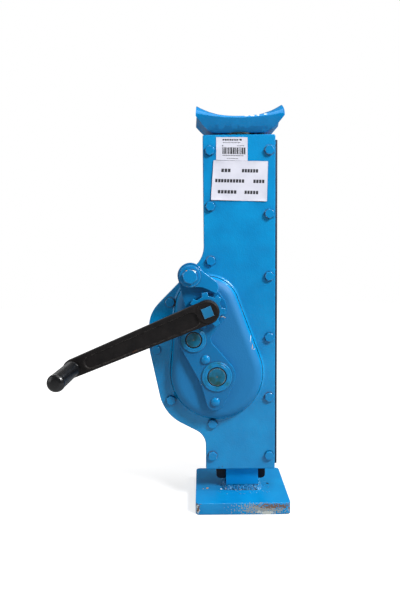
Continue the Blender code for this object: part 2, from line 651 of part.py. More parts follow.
# ---------------------------------------------------------------- crank and grip
def make_crank_arm(body):
    outline = belt([(*CRANK_AXIS, ARM_RADIUS_HUB), (*GRIP_AXIS, ARM_RADIUS_END)])
    arm = as_mesh(upright("crank_arm", [outline], ARM_FRONT, ARM_BACK))
    for face in (ARM_FRONT, ARM_BACK):
        round_edge(arm, face, 2.5, 2)
    join(arm, rod("hub", CRANK_AXIS, HUB_RADIUS, HUB_FRONT, HUB_BACK, sides=28))
    cut(arm, square_rod("square_hole", SQUARE_END + 2 * GAP, HUB_FRONT - 1.0, HUB_BACK + 1.0))
    cut(arm, rod("spindle_hole", GRIP_AXIS, SPINDLE_RADIUS + GAP, ARM_FRONT - 1.0, ARM_BACK + 1.0, sides=16))
    place(arm, BLACK, body)

    head_front = ARM_BACK + GAP
    profile = [(0.0, GRIP_FRONT + 5.0), (SPINDLE_RADIUS, GRIP_FRONT + 5.0), (SPINDLE_RADIUS, head_front),
               (10.0, head_front), (8.5, head_front + 3.2), (0.0, head_front + 3.2)]
    place(turned("grip_spindle", profile, *GRIP_AXIS, steps=16), STEEL, body)


def make_grip(body):
    back, bore = ARM_FRONT - GAP, SPINDLE_RADIUS + GAP
    profile = [(0.0, GRIP_FRONT), (8.0, GRIP_FRONT + 0.4), (12.3, GRIP_FRONT + 2.6),
               (GRIP_RADIUS, GRIP_FRONT + 7.0), (GRIP_RADIUS, back - 4.0), (13.0, back),
               (bore, back), (bore, GRIP_FRONT + 5.0 - GAP), (0.0, GRIP_FRONT + 5.0 - GAP)]
    place(turned("crank_grip", profile, *GRIP_AXIS), GRIP, body)


# ---------------------------------------------------------------- saddle
def saddle_section(y):
    """Cross-section of the saddle at one depth: flat base, flared horns, hollow seat."""
    crown = 1.0 - (y / SADDLE_HALF_DEPTH) ** 2
    half_length, half_base, samples = 78.5 - 2.0 * crown, 50.0, 10
    tip_underside = 24.0 + 9.0 * crown
    section = [(-half_base, SADDLE_BOTTOM), (half_base, SADDLE_BOTTOM),
               (half_length, SADDLE_BOTTOM + tip_underside)]
    for k in range(samples + 1):
        across = half_length * (1.0 - 2.0 * k / samples)
        seat = 714.0 + 4.0 * crown + (8.0 + 15.0 * crown) * (across / half_length) ** 2
        section.append((across, seat))
    section.append((-half_length, SADDLE_BOTTOM + tip_underside))
    return [(SADDLE_X + across, y, z) for across, z in section]


def make_saddle(body):
    """Load saddle: a loft from its front lip over the crowned middle to its back lip."""
    depths = [SADDLE_HALF_DEPTH * k / 3 for k in range(-3, 4)]
    sections = [saddle_section(y) for y in depths]
    work = bmesh.new()
    rings = [[work.verts.new(Vector(point) * MM) for point in section] for section in sections]
    count = len(rings[0])
    for near, far in zip(rings, rings[1:]):
        for i in range(count):
            j = (i + 1) % count
            work.faces.new((near[i], near[j], far[j], far[i]))
    work.faces.new(rings[0])
    work.faces.new(reversed(rings[-1]))
    bmesh.ops.recalc_face_normals(work, faces=work.faces)
    mesh = bpy.data.meshes.new("load_saddle")
    work.to_mesh(mesh)
    work.free()
    saddle = bpy.data.objects.new("load_saddle", mesh)
    jack.objects.link(saddle)
    pin = [(0.0, SADDLE_BOTTOM + 4.0), (SADDLE_PIN_RADIUS, SADDLE_BOTTOM + 4.0),
           (SADDLE_PIN_RADIUS, SADDLE_PIN_BOTTOM), (0.0, SADDLE_PIN_BOTTOM)]
    join(saddle, turned("pin", pin, SADDLE_X, 0.0, along_y=False, steps=20))
    place(saddle, BLUE, body)

    bore = SADDLE_PIN_RADIUS + GAP
    top, bottom = TOP_PLATE_BOTTOM - GAP, SADDLE_PIN_BOTTOM + 1.0
    ring = [(20.0, top), (20.0, bottom), (bore, bottom), (bore, top)]
    place(turned("saddle_retaining_ring", ring, SADDLE_X, 0.0, closed=True, along_y=False), STEEL, body)


def make_thrust_washer(body):
    bore = SADDLE_PIN_RADIUS + GAP
    top, bottom = SADDLE_BOTTOM - GAP, TOP_PLATE_TOP + GAP
    ring = [(31.0, top), (31.0, bottom), (bore, bottom), (bore, top)]
    place(turned("thrust_washer", ring, SADDLE_X, 0.0, closed=True, along_y=False), STEEL, body)


def make_labels(body):
    """Two stickers on the cover, each a thin plate."""
    back = COVER_FRONT - GAP
    front = back - 0.4
    place(box("small_label", (-41.0, front, 638.8), (15.0, back, 679.0)), PAPER, body)
    place(box("rating_label", (-49.5, front, 568.0), (50.0, back, 637.0)), PAPER, body)


def build():
    housing = pivot("housing", 0.0, 0.0, HOUSING_BOTTOM)
    crank = pivot("crank_axis", CRANK_AXIS[0], 0.0, CRANK_AXIS[1])
    layshaft = pivot("layshaft_axis", LAYSHAFT_AXIS[0], 0.0, LAYSHAFT_AXIS[1])
    main = pivot("main_axis", MAIN_AXIS[0], 0.0, MAIN_AXIS[1])
    pawl = pivot("pawl_axis", PAWL_PIVOT[0], 0.0, PAWL_PIVOT[1])
    grip = pivot("grip_axis", GRIP_AXIS[0], 0.0, GRIP_AXIS[1])
    saddle = pivot("saddle_axis", SADDLE_X, 0.0, SADDLE_BOTTOM)
    make_foot()
    make_cover(housing)
    make_housing_shell(housing)
    make_guides(housing)
    make_bearings(housing)
    make_fasteners(housing)
    make_labels(housing)
    make_thrust_washer(housing)
    make_layshaft(layshaft)
    make_main_shaft(main)
    make_crank_shaft(crank)
    make_ratchet(crank)
    make_crank_arm(crank)
    make_grip(grip)
    make_pawl(pawl, housing)
    make_saddle(saddle)


build()
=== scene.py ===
"""Looks of the hand-cranked rack jack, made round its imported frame.

Each visible piece is rebuilt here with rounded edges, worn paint and rough metal, at
the place that the frame gives its CAD node.  Lengths are in millimetres, and the
helpers turn them into metres.  The frame is +Z up, with the crank side facing -Y.
"""

import json
import math
import random

import bmesh
import bpy
from mathutils import Euler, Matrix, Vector, noise


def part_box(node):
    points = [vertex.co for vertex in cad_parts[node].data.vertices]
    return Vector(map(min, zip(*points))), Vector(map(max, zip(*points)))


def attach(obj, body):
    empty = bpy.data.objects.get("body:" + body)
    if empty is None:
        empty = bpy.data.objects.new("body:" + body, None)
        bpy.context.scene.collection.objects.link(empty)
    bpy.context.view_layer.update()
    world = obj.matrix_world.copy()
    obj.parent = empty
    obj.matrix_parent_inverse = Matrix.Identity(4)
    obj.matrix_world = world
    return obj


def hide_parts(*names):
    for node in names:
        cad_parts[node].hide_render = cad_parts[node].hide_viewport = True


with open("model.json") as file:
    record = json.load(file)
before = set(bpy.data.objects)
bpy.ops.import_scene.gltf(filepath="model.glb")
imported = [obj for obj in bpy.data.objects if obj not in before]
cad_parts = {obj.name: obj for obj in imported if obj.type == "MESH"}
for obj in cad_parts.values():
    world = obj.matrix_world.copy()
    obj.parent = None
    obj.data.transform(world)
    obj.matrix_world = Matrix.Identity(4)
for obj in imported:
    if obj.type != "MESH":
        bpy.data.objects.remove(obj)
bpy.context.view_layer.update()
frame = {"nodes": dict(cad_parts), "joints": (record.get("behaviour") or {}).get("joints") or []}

MM = 0.001
ARC_STEP = math.radians(3)       # largest turn of one facet of a rounded outline
SUPPORT = 0.35                   # narrow flat ring beside a rounded edge, so that faces shade flat


def corners(node):
    """Lowest and highest corner of a CAD node, in millimetres."""
    low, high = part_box(node)
    return Vector(low) / MM, Vector(high) / MM


def axis_of(joint):
    """Where a joint's axis along Y crosses the upright plane, as (x, z)."""
    x, _, z = next(j["pos_m"] for j in frame["joints"] if j["name"] == joint)
    return (x / MM, z / MM)


def middle_of(node):
    """Middle of a CAD node in the upright plane, as (x, z)."""
    low, high = corners(node)
    return ((low.x + high.x) / 2, (low.z + high.z) / 2)


# ---------------------------------------------------------------- places
CRANK, LAYSHAFT, MAIN = axis_of("crank_turn"), axis_of("layshaft_turn"), axis_of("main_turn")
PAWL, GRIP = axis_of("pawl_lift"), axis_of("grip_spin")
UPPER_RIVET, LOWER_RIVET = middle_of("bridge_rivet_upper"), middle_of("bridge_rivet_lower")
CRANK_HEADING = math.atan2(GRIP[1] - CRANK[1], GRIP[0] - CRANK[0])
COVER_LOW, COVER_HIGH = corners("front_cover")
COVER_FRONT = corners("rating_label")[1].y + 0.3
COLUMN_LEFT, COLUMN_RIGHT = -65.0, COVER_HIGH.x

# Circles (x, z, radius) that the housing's left side and its bolting flange run round
BULGE = [(-115.0, 487.7, -50.0), (-107.6, 339.6, 60.0), (-107.6, 302.1, 60.0),
         (-73.6, 225.5, 78.0), (-97.0, 113.5, -32.0)]
FLANGE_OPENING = [(41.0, 108.0, 4.0), (41.0, 641.0, 4.0), (-35.0, 641.0, 4.0),
                  (-115.0, 487.7, -76.0), (-107.6, 339.6, 38.0), (-107.6, 302.1, 38.0),
                  (-73.6, 225.5, 45.0), (-97.0, 113.5, -68.0), (-25.0, 108.0, 4.0)]
DOME_RADIUS_CRANK, DOME_RADIUS_MAIN = 59.0, 86.0


# ---------------------------------------------------------------- outlines
def polar(centre, radius, angle):
    return (centre[0] + radius * math.cos(angle), centre[1] + radius * math.sin(angle))


def circle(centre, radius, sides=64):
    return [polar(centre, radius, 2 * math.pi * i / sides) for i in range(sides)]


def belt(circles, closed=True):
    """Outline of a taut belt run counter-clockwise round circles (x, z, radius).

    A negative radius passes its circle on the other side, which makes a hollow
    corner, and radius 0 makes a sharp one.
    """
    count = len(circles)
    headings = []
    for i in range(count if closed else count - 1):
        x1, z1, r1 = circles[i]
        x2, z2, r2 = circles[(i + 1) % count]
        lean = math.asin((r2 - r1) / math.hypot(x2 - x1, z2 - z1))
        headings.append(math.atan2(z2 - z1, x2 - x1) - lean)
    points = []
    for i, (x, z, radius) in enumerate(circles):
        if radius == 0 or (not closed and i in (0, count - 1)):
            points.append((x, z))
            continue
        start, end = headings[i - 1], headings[i]
        turn = (end - start) % (2 * math.pi)
        if radius < 0 or turn > 1.75 * math.pi:
            turn -= 2 * math.pi
        if radius < 0 and turn < -1.75 * math.pi:
            turn += 2 * math.pi
        steps = max(1, math.ceil(abs(turn) / ARC_STEP))
        for k in range(steps + 1):
            heading = start + turn * k / steps
            points.append((x + radius * math.sin(heading), z - radius * math.cos(heading)))
    return points


def rounded_box(left, bottom, right, top, radius):
    """Corner circles of a rounded rectangle, counter-clockwise from the lower right."""
    return [(right - radius, bottom + radius, radius), (right - radius, top - radius, radius),
            (left + radius, top - radius, radius), (left + radius, bottom + radius, radius)]


def housing_outline(right):
    """Outline of the housing as seen from the front, with its right side at a given x."""
    bottom, top, corner = COVER_LOW.z, COVER_HIGH.z, 3.0
    lower_right, upper_right, upper_left, lower_left = rounded_box(COLUMN_LEFT, bottom, right, top, corner)
    return belt([lower_right, upper_right, upper_left, *BULGE, lower_left])


def cleaned(loop, clockwise):
    """Loop as vectors without doubled points, turned to run the way asked for."""
    points = [Vector(p) for p in loop]
    points = [p for i, p in enumerate(points) if (p - points[i - 1]).length > 0.01]
    area = sum(a.x * b.y - b.x * a.y for a, b in zip(points, points[1:] + points[:1]))
    return points[::-1] if (area < 0) != clockwise else points


def inset(points, amount):
    """Closed outline moved to the left of its direction of travel by an amount."""
    moved = []
    for i, point in enumerate(points):
        before = (point - points[i - 1]).normalized()
        after = (points[(i + 1) % len(points)] - point).normalized()
        sides = Vector((-before.y - after.y, before.x + after.x))
        moved.append(point + sides * amount / max(0.3, 1 + before.dot(after)))
    return moved


# ---------------------------------------------------------------- meshes
def dots(mesh, spots):
    """New vertices at spots (x, y, z)."""
    return [mesh.verts.new(Vector(spot) * MM) for spot in spots]


def skin(mesh, rings):
    """Quads between closed rings of vertices, each ring with the same count."""
    for near, far in zip(rings, rings[1:]):
        for i in range(len(near)):
            j = (i + 1) % len(near)
            mesh.faces.new((near[i], near[j], far[j], far[i]))


def fill(mesh, rings):
    """Flat face inside the first ring and outside the others."""
    edges = [mesh.edges.get((ring[i - 1], ring[i])) or mesh.edges.new((ring[i - 1], ring[i]))
             for ring in rings for i in range(len(ring))]
    bmesh.ops.triangle_fill(mesh, use_beauty=True, use_dissolve=False, edges=edges)


def rim(front, back, edge):
    """(inset, depth) of the rings from a plate's back face, round its side, to its front."""
    rounds = 3
    quarter = [(edge * (1 - math.cos(a)), edge * (1 - math.sin(a)))
               for a in (math.pi / 2 * k / rounds for k in range(rounds + 1))]
    at_front = [(x, front + y) for x, y in quarter] + [(edge + SUPPORT, front)]
    at_back = [(x, back - y) for x, y in quarter] + [(edge + SUPPORT, back)]
    return at_back[::-1] + at_front


def plate(loops, front, back, edge, level=False, pockets=()):
    """Flat plate with rounded edges: an outline, its holes, and pockets in its front.

    An upright plate is drawn in X and Z, and its depths are y.  A level plate is drawn
    in X and Y, and its depths are z.  A pocket is an outline and how deep it is.
    """
    mesh = bmesh.new()

    def ring(points, depth):
        return dots(mesh, ((p.x, p.y, depth) if level else (p.x, depth, p.y) for p in points))

    fronts, backs = [], []
    for number, loop in enumerate(loops):
        points = cleaned(loop, clockwise=number > 0)
        rings = [ring(inset(points, x), depth) for x, depth in rim(front, back, edge)]
        skin(mesh, rings)
        backs.append(rings[0])
        fronts.append(rings[-1])
    for outline, deep in pockets:
        points = cleaned(outline, clockwise=True)
        steps = [(SUPPORT + 0.8, 0.0), (0.8, 0.0), (0.25, 0.25), (0.0, 0.8), (-0.3, deep - 0.8),
                 (-0.8, deep - 0.2), (-1.6, deep), (-1.6 - SUPPORT, deep)]
        rings = [ring(inset(points, x), front + depth) for x, depth in steps]
        skin(mesh, rings)
        fronts.append(rings[0])
        fill(mesh, [rings[-1]])
    fill(mesh, fronts)
    fill(mesh, backs)
    return mesh


def bend(start, corner, end, t):
    """Point on the curve that rounds off a corner: at the start for t = 0, at the end for 1."""
    return start * (1 - t) ** 2 + corner * 2 * t * (1 - t) + end * t ** 2


def softened(profile, radius):
    """Profile with each inner corner rounded off."""
    points = [Vector(p) for p in profile]
    soft = [points[0]]
    for before, corner, after in zip(points, points[1:], points[2:]):
        reach = min(radius, (before - corner).length * 0.45, (after - corner).length * 0.45)
        start = corner + (before - corner).normalized() * reach
        end = corner + (after - corner).normalized() * reach
        soft += [bend(start, corner, end, t) for t in (0.0, 0.33, 0.67, 1.0)]
    return soft + [points[-1]]


def turned(profile, centre, closed=False, steps=64, into=None):
    """Piece turned about the axis along Y through (x, z), from a profile of (radius, y)."""
    mesh = into or bmesh.new()
    rings = []
    for radius, depth in profile:
        spots = [centre] if radius < 0.01 else circle(centre, radius, steps)
        rings.append(dots(mesh, ((x, depth, z) for x, z in spots)))
    if closed:
        rings.append(rings[0])
    for near, far in zip(rings, rings[1:]):
        if len(near) == len(far) == 1:
            continue
        for i in range(steps):
            j = (i + 1) % steps
            face = [near[i % len(near)], near[j % len(near)], far[j % len(far)], far[i % len(far)]]
            mesh.faces.new(list(dict.fromkeys(face)))
    return mesh


def hex_bolt(centre, across, seat, head, turn, shank, tip):
    """Bolt along Y with a chamfered hexagon head, on its shank."""
    mesh = bmesh.new()
    flat, steps, slope = across / 2, 60, math.tan(math.radians(28))
    rings = [[], [], [], []]
    for i in range(steps):
        angle = 2 * math.pi * i / steps
        reach = flat / math.cos((angle + math.pi / 6) % (math.pi / 3) - math.pi / 6)
        side = head - 0.3 - max(0.0, reach - flat * 0.97) * slope
        spots = ((reach - 0.3, 0.0), (reach, 0.4), (reach, side), (flat * 0.93, head))
        for ring, (radius, height) in zip(rings, spots):
            x, z = polar(centre, radius, angle + turn)
            ring += dots(mesh, [(x, seat - height, z)])
    top = dots(mesh, ((x, seat - head, z) for x, z in circle(centre, flat * 0.86, steps)))
    shift = round(turn / (2 * math.pi) * steps)
    rings.append(top[shift:] + top[:shift])
    skin(mesh, rings)
    fill(mesh, [rings[-1]])
    fill(mesh, [rings[0]])
    turned([(0.0, seat - 1.0), (shank, seat - 1.0), (shank, tip), (0.0, tip)], centre, steps=24, into=mesh)
    return mesh


def refined(node, edge, segments=2):
    """Copy of a CAD node's own mesh with its sharp edges rounded."""
    mesh = bmesh.new()
    mesh.from_mesh(frame["nodes"][node].data)
    bmesh.ops.remove_doubles(mesh, verts=mesh.verts, dist=0.01 * MM)
    bmesh.ops.dissolve_limit(mesh, angle_limit=math.radians(1), verts=mesh.verts, edges=mesh.edges)
    sharp = [e for e in mesh.edges if e.is_manifold and e.calc_face_angle(0) > math.radians(35)]
    bmesh.ops.bevel(mesh, geom=sharp, offset=edge * MM, segments=segments, profile=0.5,
                    affect="EDGES", clamp_overlap=True)
    return mesh


def roughen(mesh, amount, size, seed):
    """Push each vertex along its normal by noise whose lumps have a given size."""
    mesh.normal_update()
    for vert in mesh.verts:
        spot = vert.co / (size * MM) + Vector((seed, seed, seed))
        vert.co += vert.normal * noise.noise(spot) * amount * MM


def piece(name, mesh, finish, body, *nodes, sharp=32.0):
    """Put a mesh in the scene with its material, riding on a body in place of CAD nodes."""
    bmesh.ops.recalc_face_normals(mesh, faces=mesh.faces)
    data = bpy.data.meshes.new(name)
    mesh.to_mesh(data)
    mesh.free()
    data.shade_smooth()
    data.set_sharp_from_angle(angle=math.radians(sharp))
    data.materials.append(finish)
    made = bpy.data.objects.new(name, data)
    bpy.context.scene.collection.objects.link(made)
    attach(made, body)
    if nodes:
        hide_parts(*nodes)


# ---------------------------------------------------------------- materials
def colour(code):
    """Linear colour of a hexadecimal sRGB code."""
    channels = [int(code[i:i + 2], 16) / 255 for i in (0, 2, 4)]
    return (*[c / 12.92 if c <= 0.04045 else ((c + 0.055) / 1.055) ** 2.4 for c in channels], 1.0)


class Finish:
    """Node graph of one material."""

    def __init__(self, name, slot, roughness, metallic=0.0, coat=0.0, specular=0.5):
        self.material = bpy.data.materials.new(name)
        self.material.use_nodes = True
        self.tree = self.material.node_tree
        self.surface = self.tree.nodes["Principled BSDF"]
        self.surface.inputs["Roughness"].default_value = roughness
        self.surface.inputs["Metallic"].default_value = metallic
        self.surface.inputs["Coat Weight"].default_value = coat
        self.surface.inputs["Specular IOR Level"].default_value = specular
        self.where = self.node("ShaderNodeTexCoord").outputs["Object"]

    def node(self, kind, inputs=None, **settings):
        """New node.  An input is a socket to link, a value, or a colour's code."""
        made = self.tree.nodes.new(kind)
        for key, value in settings.items():
            setattr(made, key, value)
        for key, value in (inputs or {}).items():
            if isinstance(value, bpy.types.NodeSocket):
                self.tree.links.new(value, made.inputs[key])
            else:
                made.inputs[key].default_value = colour(value) if isinstance(value, str) else value
        return made

    def noise(self, scale, detail, stretch=(1.0, 1.0, 1.0)):
        """Noise from 0 to 1 whose grains are about 1/scale metres wide."""
        spread = self.node("ShaderNodeMapping", {"Vector": self.where, "Scale": stretch})
        inputs = {"Vector": spread.outputs[0], "Scale": scale, "Detail": detail}
        return self.node("ShaderNodeTexNoise", inputs).outputs["Fac"]

    def maths(self, operation, *values):
        return self.node("ShaderNodeMath", dict(enumerate(values)), operation=operation).outputs[0]

    def band(self, value, start, end, top=1.0, floor=0.0):
        """Ramp from floor at start to top at end."""
        inputs = {"Value": value, "From Min": start, "From Max": end, "To Min": floor, "To Max": top}
        return self.node("ShaderNodeMapRange", inputs).outputs[0]

    def mix(self, factor, first, second):
        """Blend of two colours, each a socket or a hexadecimal code."""
        return self.node("ShaderNodeMix", {0: factor, 6: first, 7: second}, data_type="RGBA").outputs[2]

    def patch(self, centre, size, turn, ragged=0.7, grain=450.0):
        """Mask of a ragged patch: 1 inside an ellipsoid with these half-widths, 0 outside."""
        inputs = {"Vector": self.where, "Location": Vector(centre) * MM,
                  "Rotation": (0.0, math.radians(turn), 0.0), "Scale": Vector(size) * MM}
        placed = self.node("ShaderNodeMapping", inputs, vector_type="TEXTURE").outputs[0]
        reach = self.node("ShaderNodeVectorMath", {0: placed}, operation="LENGTH").outputs["Value"]
        torn = self.maths("MULTIPLY_ADD", self.noise(grain, 2.0), 2 * ragged, -ragged)
        return self.band(self.maths("ADD", reach, torn), 1.0, 0.8)

    def corners(self, distance, strength):
        """Mask of the creases, from ambient occlusion, where soiling gathers and painted shade falls."""
        sky = self.node("ShaderNodeAmbientOcclusion", {"Distance": distance * MM}, samples=6)
        return self.band(sky.outputs["AO"], 0.82, 0.4, strength)

    def edges(self, width):
        """Mask of the convex and hollow edges, from how far a rounded normal leans."""
        rounded = self.node("ShaderNodeBevel", {"Radius": width * MM}, samples=4).outputs[0]
        flat = self.node("ShaderNodeNewGeometry").outputs["Normal"]
        same = self.node("ShaderNodeVectorMath", {0: rounded, 1: flat}, operation="DOT_PRODUCT")
        return self.band(same.outputs["Value"], 0.985, 0.9)

    def bump(self, *layers):
        """Stack of (height, strength, distance in mm) on the surface normal."""
        normal = None
        for height, strength, distance in layers:
            inputs = {"Height": height, "Strength": strength, "Distance": distance * MM}
            if normal:
                inputs["Normal"] = normal
            normal = self.node("ShaderNodeBump", inputs).outputs[0]
        self.tree.links.new(normal, self.surface.inputs["Normal"])

    def done(self, **sockets):
        """Link worked-out values to the shader, and give the finished material."""
        for name, value in sockets.items():
            self.tree.links.new(value, self.surface.inputs[name.replace("_", " ").title()])
        return self.material


BARE, PRIMER, RUST, CHIP = "c9cdc8", "c4935a", "6a5446", "dfe9ee"
BLUE, DEEP_BLUE, PALE_BLUE = "028bc7", "027bb6", "3fa6dc"


def paint(name, base=BLUE, shade=DEEP_BLUE, wear_and_edge_light=0.5, dirt_and_shade=0.7, grain=0.25, crease=5.0, gloss=0.35,
          patches=()):
    """Brushed blue enamel: cloudy colour, orange peel, soiling and painted shade in creases, pale flecks of
    paint loss and painted highlight along edges.

    A patch is (colour, centre, half-widths, turn in degrees about Y), and may end with
    how ragged its outline is and how many of its grains lie along a metre.
    """
    f = Finish(name, "blue_paint", 0.25, specular=gloss)
    cloud = f.band(f.noise(22.0, 4.0), 0.3, 0.7)
    tint = f.mix(cloud, shade, base)
    speckle = f.band(f.noise(900.0, 2.0), 0.62, 0.75, 0.12)
    tint = f.mix(speckle, tint, PALE_BLUE)
    # Creases darkened from ambient occlusion: brown soiling mixed with dark blue painted shade.
    grime_and_shade = f.mix(f.band(f.noise(28.0, 2.0), 0.45, 0.6), "043050", "5a4a3c")
    tint = f.mix(f.corners(crease, dirt_and_shade), tint, grime_and_shade)
    # Paler edges: flecks of paint loss, and painted highlight along the rounded edges.
    edge_breakup = f.band(f.noise(160.0, 5.0), 0.66 - 0.2 * wear_and_edge_light, 0.74 - 0.2 * wear_and_edge_light)
    chips_and_edge_light = f.maths("MULTIPLY", f.edges(0.9), edge_breakup)
    worn_and_highlit = f.mix(f.band(f.noise(70.0, 2.0), 0.45, 0.6), PALE_BLUE, "b5a890")
    tint = f.mix(chips_and_edge_light, tint, worn_and_highlit)
    bare = chips_and_edge_light
    for stain, centre, size, turn, *torn in patches:
        mask = f.patch(centre, size, turn, *torn)
        tint = f.mix(mask, tint, stain)
        bare = f.maths("MAXIMUM", bare, mask)
    peel = f.noise(420.0, 2.0)
    brushed = f.noise(60.0, 3.0)
    f.bump((brushed, 0.12, 1.2), (peel, grain, 0.5), (bare, -0.35, 0.4))
    rough = f.maths("MULTIPLY_ADD", f.noise(45.0, 3.0), 0.14, 0.15)
    return f.done(base_color=tint, roughness=f.maths("MAXIMUM", rough, f.maths("MULTIPLY", bare, 0.6)))


def forged(name, base, light):
    """Black over a rough forging, lighter along its edges from scuffing and painted highlight."""
    f = Finish(name, "black_paint", 0.5, specular=0.25)
    pitted = f.noise(260.0, 5.0)
    lumpy = f.noise(55.0, 4.0)
    tint = f.mix(f.band(lumpy, 0.35, 0.7), base, light)
    # Lighter edges: scuffing, and painted highlight along the pocket's rim and the outline.
    rubbed_and_highlit = f.maths("MULTIPLY", f.edges(1.2), f.band(f.noise(120.0, 4.0), 0.36, 0.52))
    tint = f.mix(rubbed_and_highlit, tint, "565250")
    rust = f.maths("MULTIPLY", f.edges(1.0), f.band(f.noise(40.0, 4.0), 0.64, 0.7))
    tint = f.mix(rust, tint, "7a5135")
    f.bump((lumpy, 0.5, 1.6), (pitted, 0.4, 0.4))
    return f.done(base_color=tint, roughness=f.maths("MULTIPLY_ADD", pitted, 0.35, 0.35))


def steel(name):
    """Turned steel under thick grease."""
    f = Finish(name, "greased_steel", 0.35, metallic=1.0)
    smear = f.band(f.noise(90.0, 5.0), 0.42, 0.62)
    tint = f.mix(smear, "8b9296", "14303a")
    f.bump((f.noise(900.0, 2.0, (1.0, 6.0, 1.0)), 0.15, 0.2), (smear, 0.4, 0.5))
    return f.done(base_color=tint, roughness=f.band(smear, 0.0, 1.0, 0.55),
                  metallic=f.band(smear, 0.0, 1.0, 0.15, 1.0))


def greasy_paint(name, base, spot, amount):
    """Blue overspray on a turned face, with smears and specks of old grease, painted shade in its creases
    and a painted highlight on its edges.
    """
    f = Finish(name, "greased_steel", 0.35, specular=0.3)
    smear = f.band(f.noise(70.0, 5.0), 0.62 - 0.25 * amount, 0.85 - 0.25 * amount)
    tint = f.mix(smear, base, spot)
    specks = f.band(f.noise(700.0, 2.0), 0.6, 0.68, 0.6)
    tint = f.mix(f.maths("MULTIPLY", specks, smear), tint, "1a2a2c")
    # Near-black in the creases from ambient occlusion: old grease and painted shade.
    tint = f.mix(f.corners(3.0, 0.9), tint, "0a161c")
    # Light blue on the edges: painted highlight.
    light = f.maths("MULTIPLY", f.edges(0.6), f.band(f.noise(150.0, 3.0), 0.4, 0.6))
    tint = f.mix(light, tint, "7fb6cc")
    f.bump((smear, 0.3, 0.5), (f.noise(600.0, 2.0), 0.3, 0.3))
    return f.done(base_color=tint, roughness=f.maths("MULTIPLY_ADD", smear, 0.25, 0.3))


def plastic(name):
    """Glossy black moulded sleeve, a little scuffed."""
    f = Finish(name, "black_plastic", 0.3, coat=0.15)
    scuff = f.band(f.noise(130.0, 5.0, (1.0, 4.0, 1.0)), 0.58, 0.72)
    tint = f.mix(scuff, "07080b", "1b1f26")
    f.bump((f.noise(500.0, 3.0), 0.08, 0.3), (scuff, 0.12, 0.2))
    return f.done(base_color=tint, roughness=f.maths("MULTIPLY_ADD", scuff, 0.2, 0.28))


def paper(name):
    """Sticker paper, faintly grey and wrinkled."""
    f = Finish(name, "label_paper", 0.55)
    fibre = f.noise(1500.0, 3.0)
    tint = f.mix(f.band(f.noise(40.0, 3.0), 0.35, 0.7), "cfd0dc", "c6c7d4")
    f.bump((f.noise(60.0, 2.0), 0.25, 0.8), (fibre, 0.1, 0.1))
    return f.done(base_color=tint, roughness=f.maths("MULTIPLY_ADD", fibre, 0.15, 0.45))


def ink(name):
    f = Finish(name, "label_paper", 0.5)
    blotch = f.band(f.noise(1200.0, 3.0), 0.3, 0.75)
    return f.done(base_color=f.mix(blotch, "15161b", "2c2d36"))


COVER_PAINT = paint("cover_paint", wear_and_edge_light=0.35, dirt_and_shade=1.0, grain=0.55, gloss=0.45, patches=[
    # Darker blue over the dome's face: painted shade.
    ("006fa9", (MAIN[0], COVER_LOW.y, MAIN[1] + 30.0), (400.0, 9.0, 400.0), 0.0, 0.1, 20.0),
    (BARE, (18.6, -50.0, 321.0), (0.6, 9.0, 8.5), 7.0, 0.4),
    (PRIMER, (21.3, -50.0, 304.0), (0.6, 9.0, 6.0), 9.0, 0.4),
    (BARE, (24.6, -46.0, 299.4), (2.8, 9.0, 0.5), 0.0, 0.4),
    ("0c3c5e", (-40.5, -32.0, 70.5), (0.9, 2.0, 2.6), 8.0),
    ("0c3c5e", (-34.2, -32.0, 71.5), (0.8, 2.0, 2.0), -10.0)])
BRIDGE_PAINT = paint("bridge_paint", "036fa8", "02639a", wear_and_edge_light=0.75, patches=[
    (BARE, (-34.2, -64.3, 361.2), (5.0, 2.5, 0.8), -6.0),
    (PRIMER, (-28.5, -64.3, 359.6), (1.6, 2.5, 0.9), 0.0)])
PAWL_PAINT = paint("pawl_paint", "067fbd", "0572ad", wear_and_edge_light=0.95, dirt_and_shade=0.7, patches=[
    (PRIMER, (PAWL[0] - 6.5, -89.0, PAWL[1] + 11.0), (1.6, 4.0, 1.8), 0.0),
    (BARE, (PAWL[0] + 7.0, -89.0, PAWL[1] + 10.5), (4.2, 4.0, 1.3), 28.0)])
BOLT_PAINT = paint("bolt_paint", "0383c0", "0276b2", wear_and_edge_light=0.6, dirt_and_shade=1.0)
SHELL_PAINT = paint("shell_paint", wear_and_edge_light=0.5)
# Side bar darker blue overall, with near-black navy on its front face: painted shade.
BAR_PAINT_AND_SHADE = paint("side_bar_paint_and_shade", "0679b4", "046ca4", wear_and_edge_light=0.5, patches=[
    ("0a2138", (87.0, -29.0, 370.0), (90.0, 4.0, 1500.0), 0.0, 0.25, 30.0)])
SADDLE_PAINT = paint("saddle_paint", "0082c2", "0074b4", wear_and_edge_light=0.55, dirt_and_shade=0.3, grain=0.35,
                     gloss=0.25, patches=[
    # Darker blue over the lower front of the saddle: painted shade.
    ("0370ac", (1.5, -32.0, 684.0), (85.0, 16.0, 15.0), 0.0, 1.2, 90.0),
    (CHIP, (13.0, -38.0, 714.6), (4.0, 3.4, 1.3), 0.0),
    (CHIP, (23.0, -38.0, 714.8), (4.6, 3.4, 1.5), 8.0),
    (CHIP, (33.0, -38.0, 715.4), (3.8, 3.4, 1.3), 0.0),
    (CHIP, (46.0, -38.0, 716.6), (3.0, 3.4, 1.2), 0.0),
    ("4c4440", (-79.0, 0.0, 719.0), (3.4, 44.0, 8.0), 0.0, 0.8, 250.0),
    ("4c4440", (82.0, 0.0, 719.0), (3.4, 44.0, 8.0), 0.0, 0.8, 250.0)])
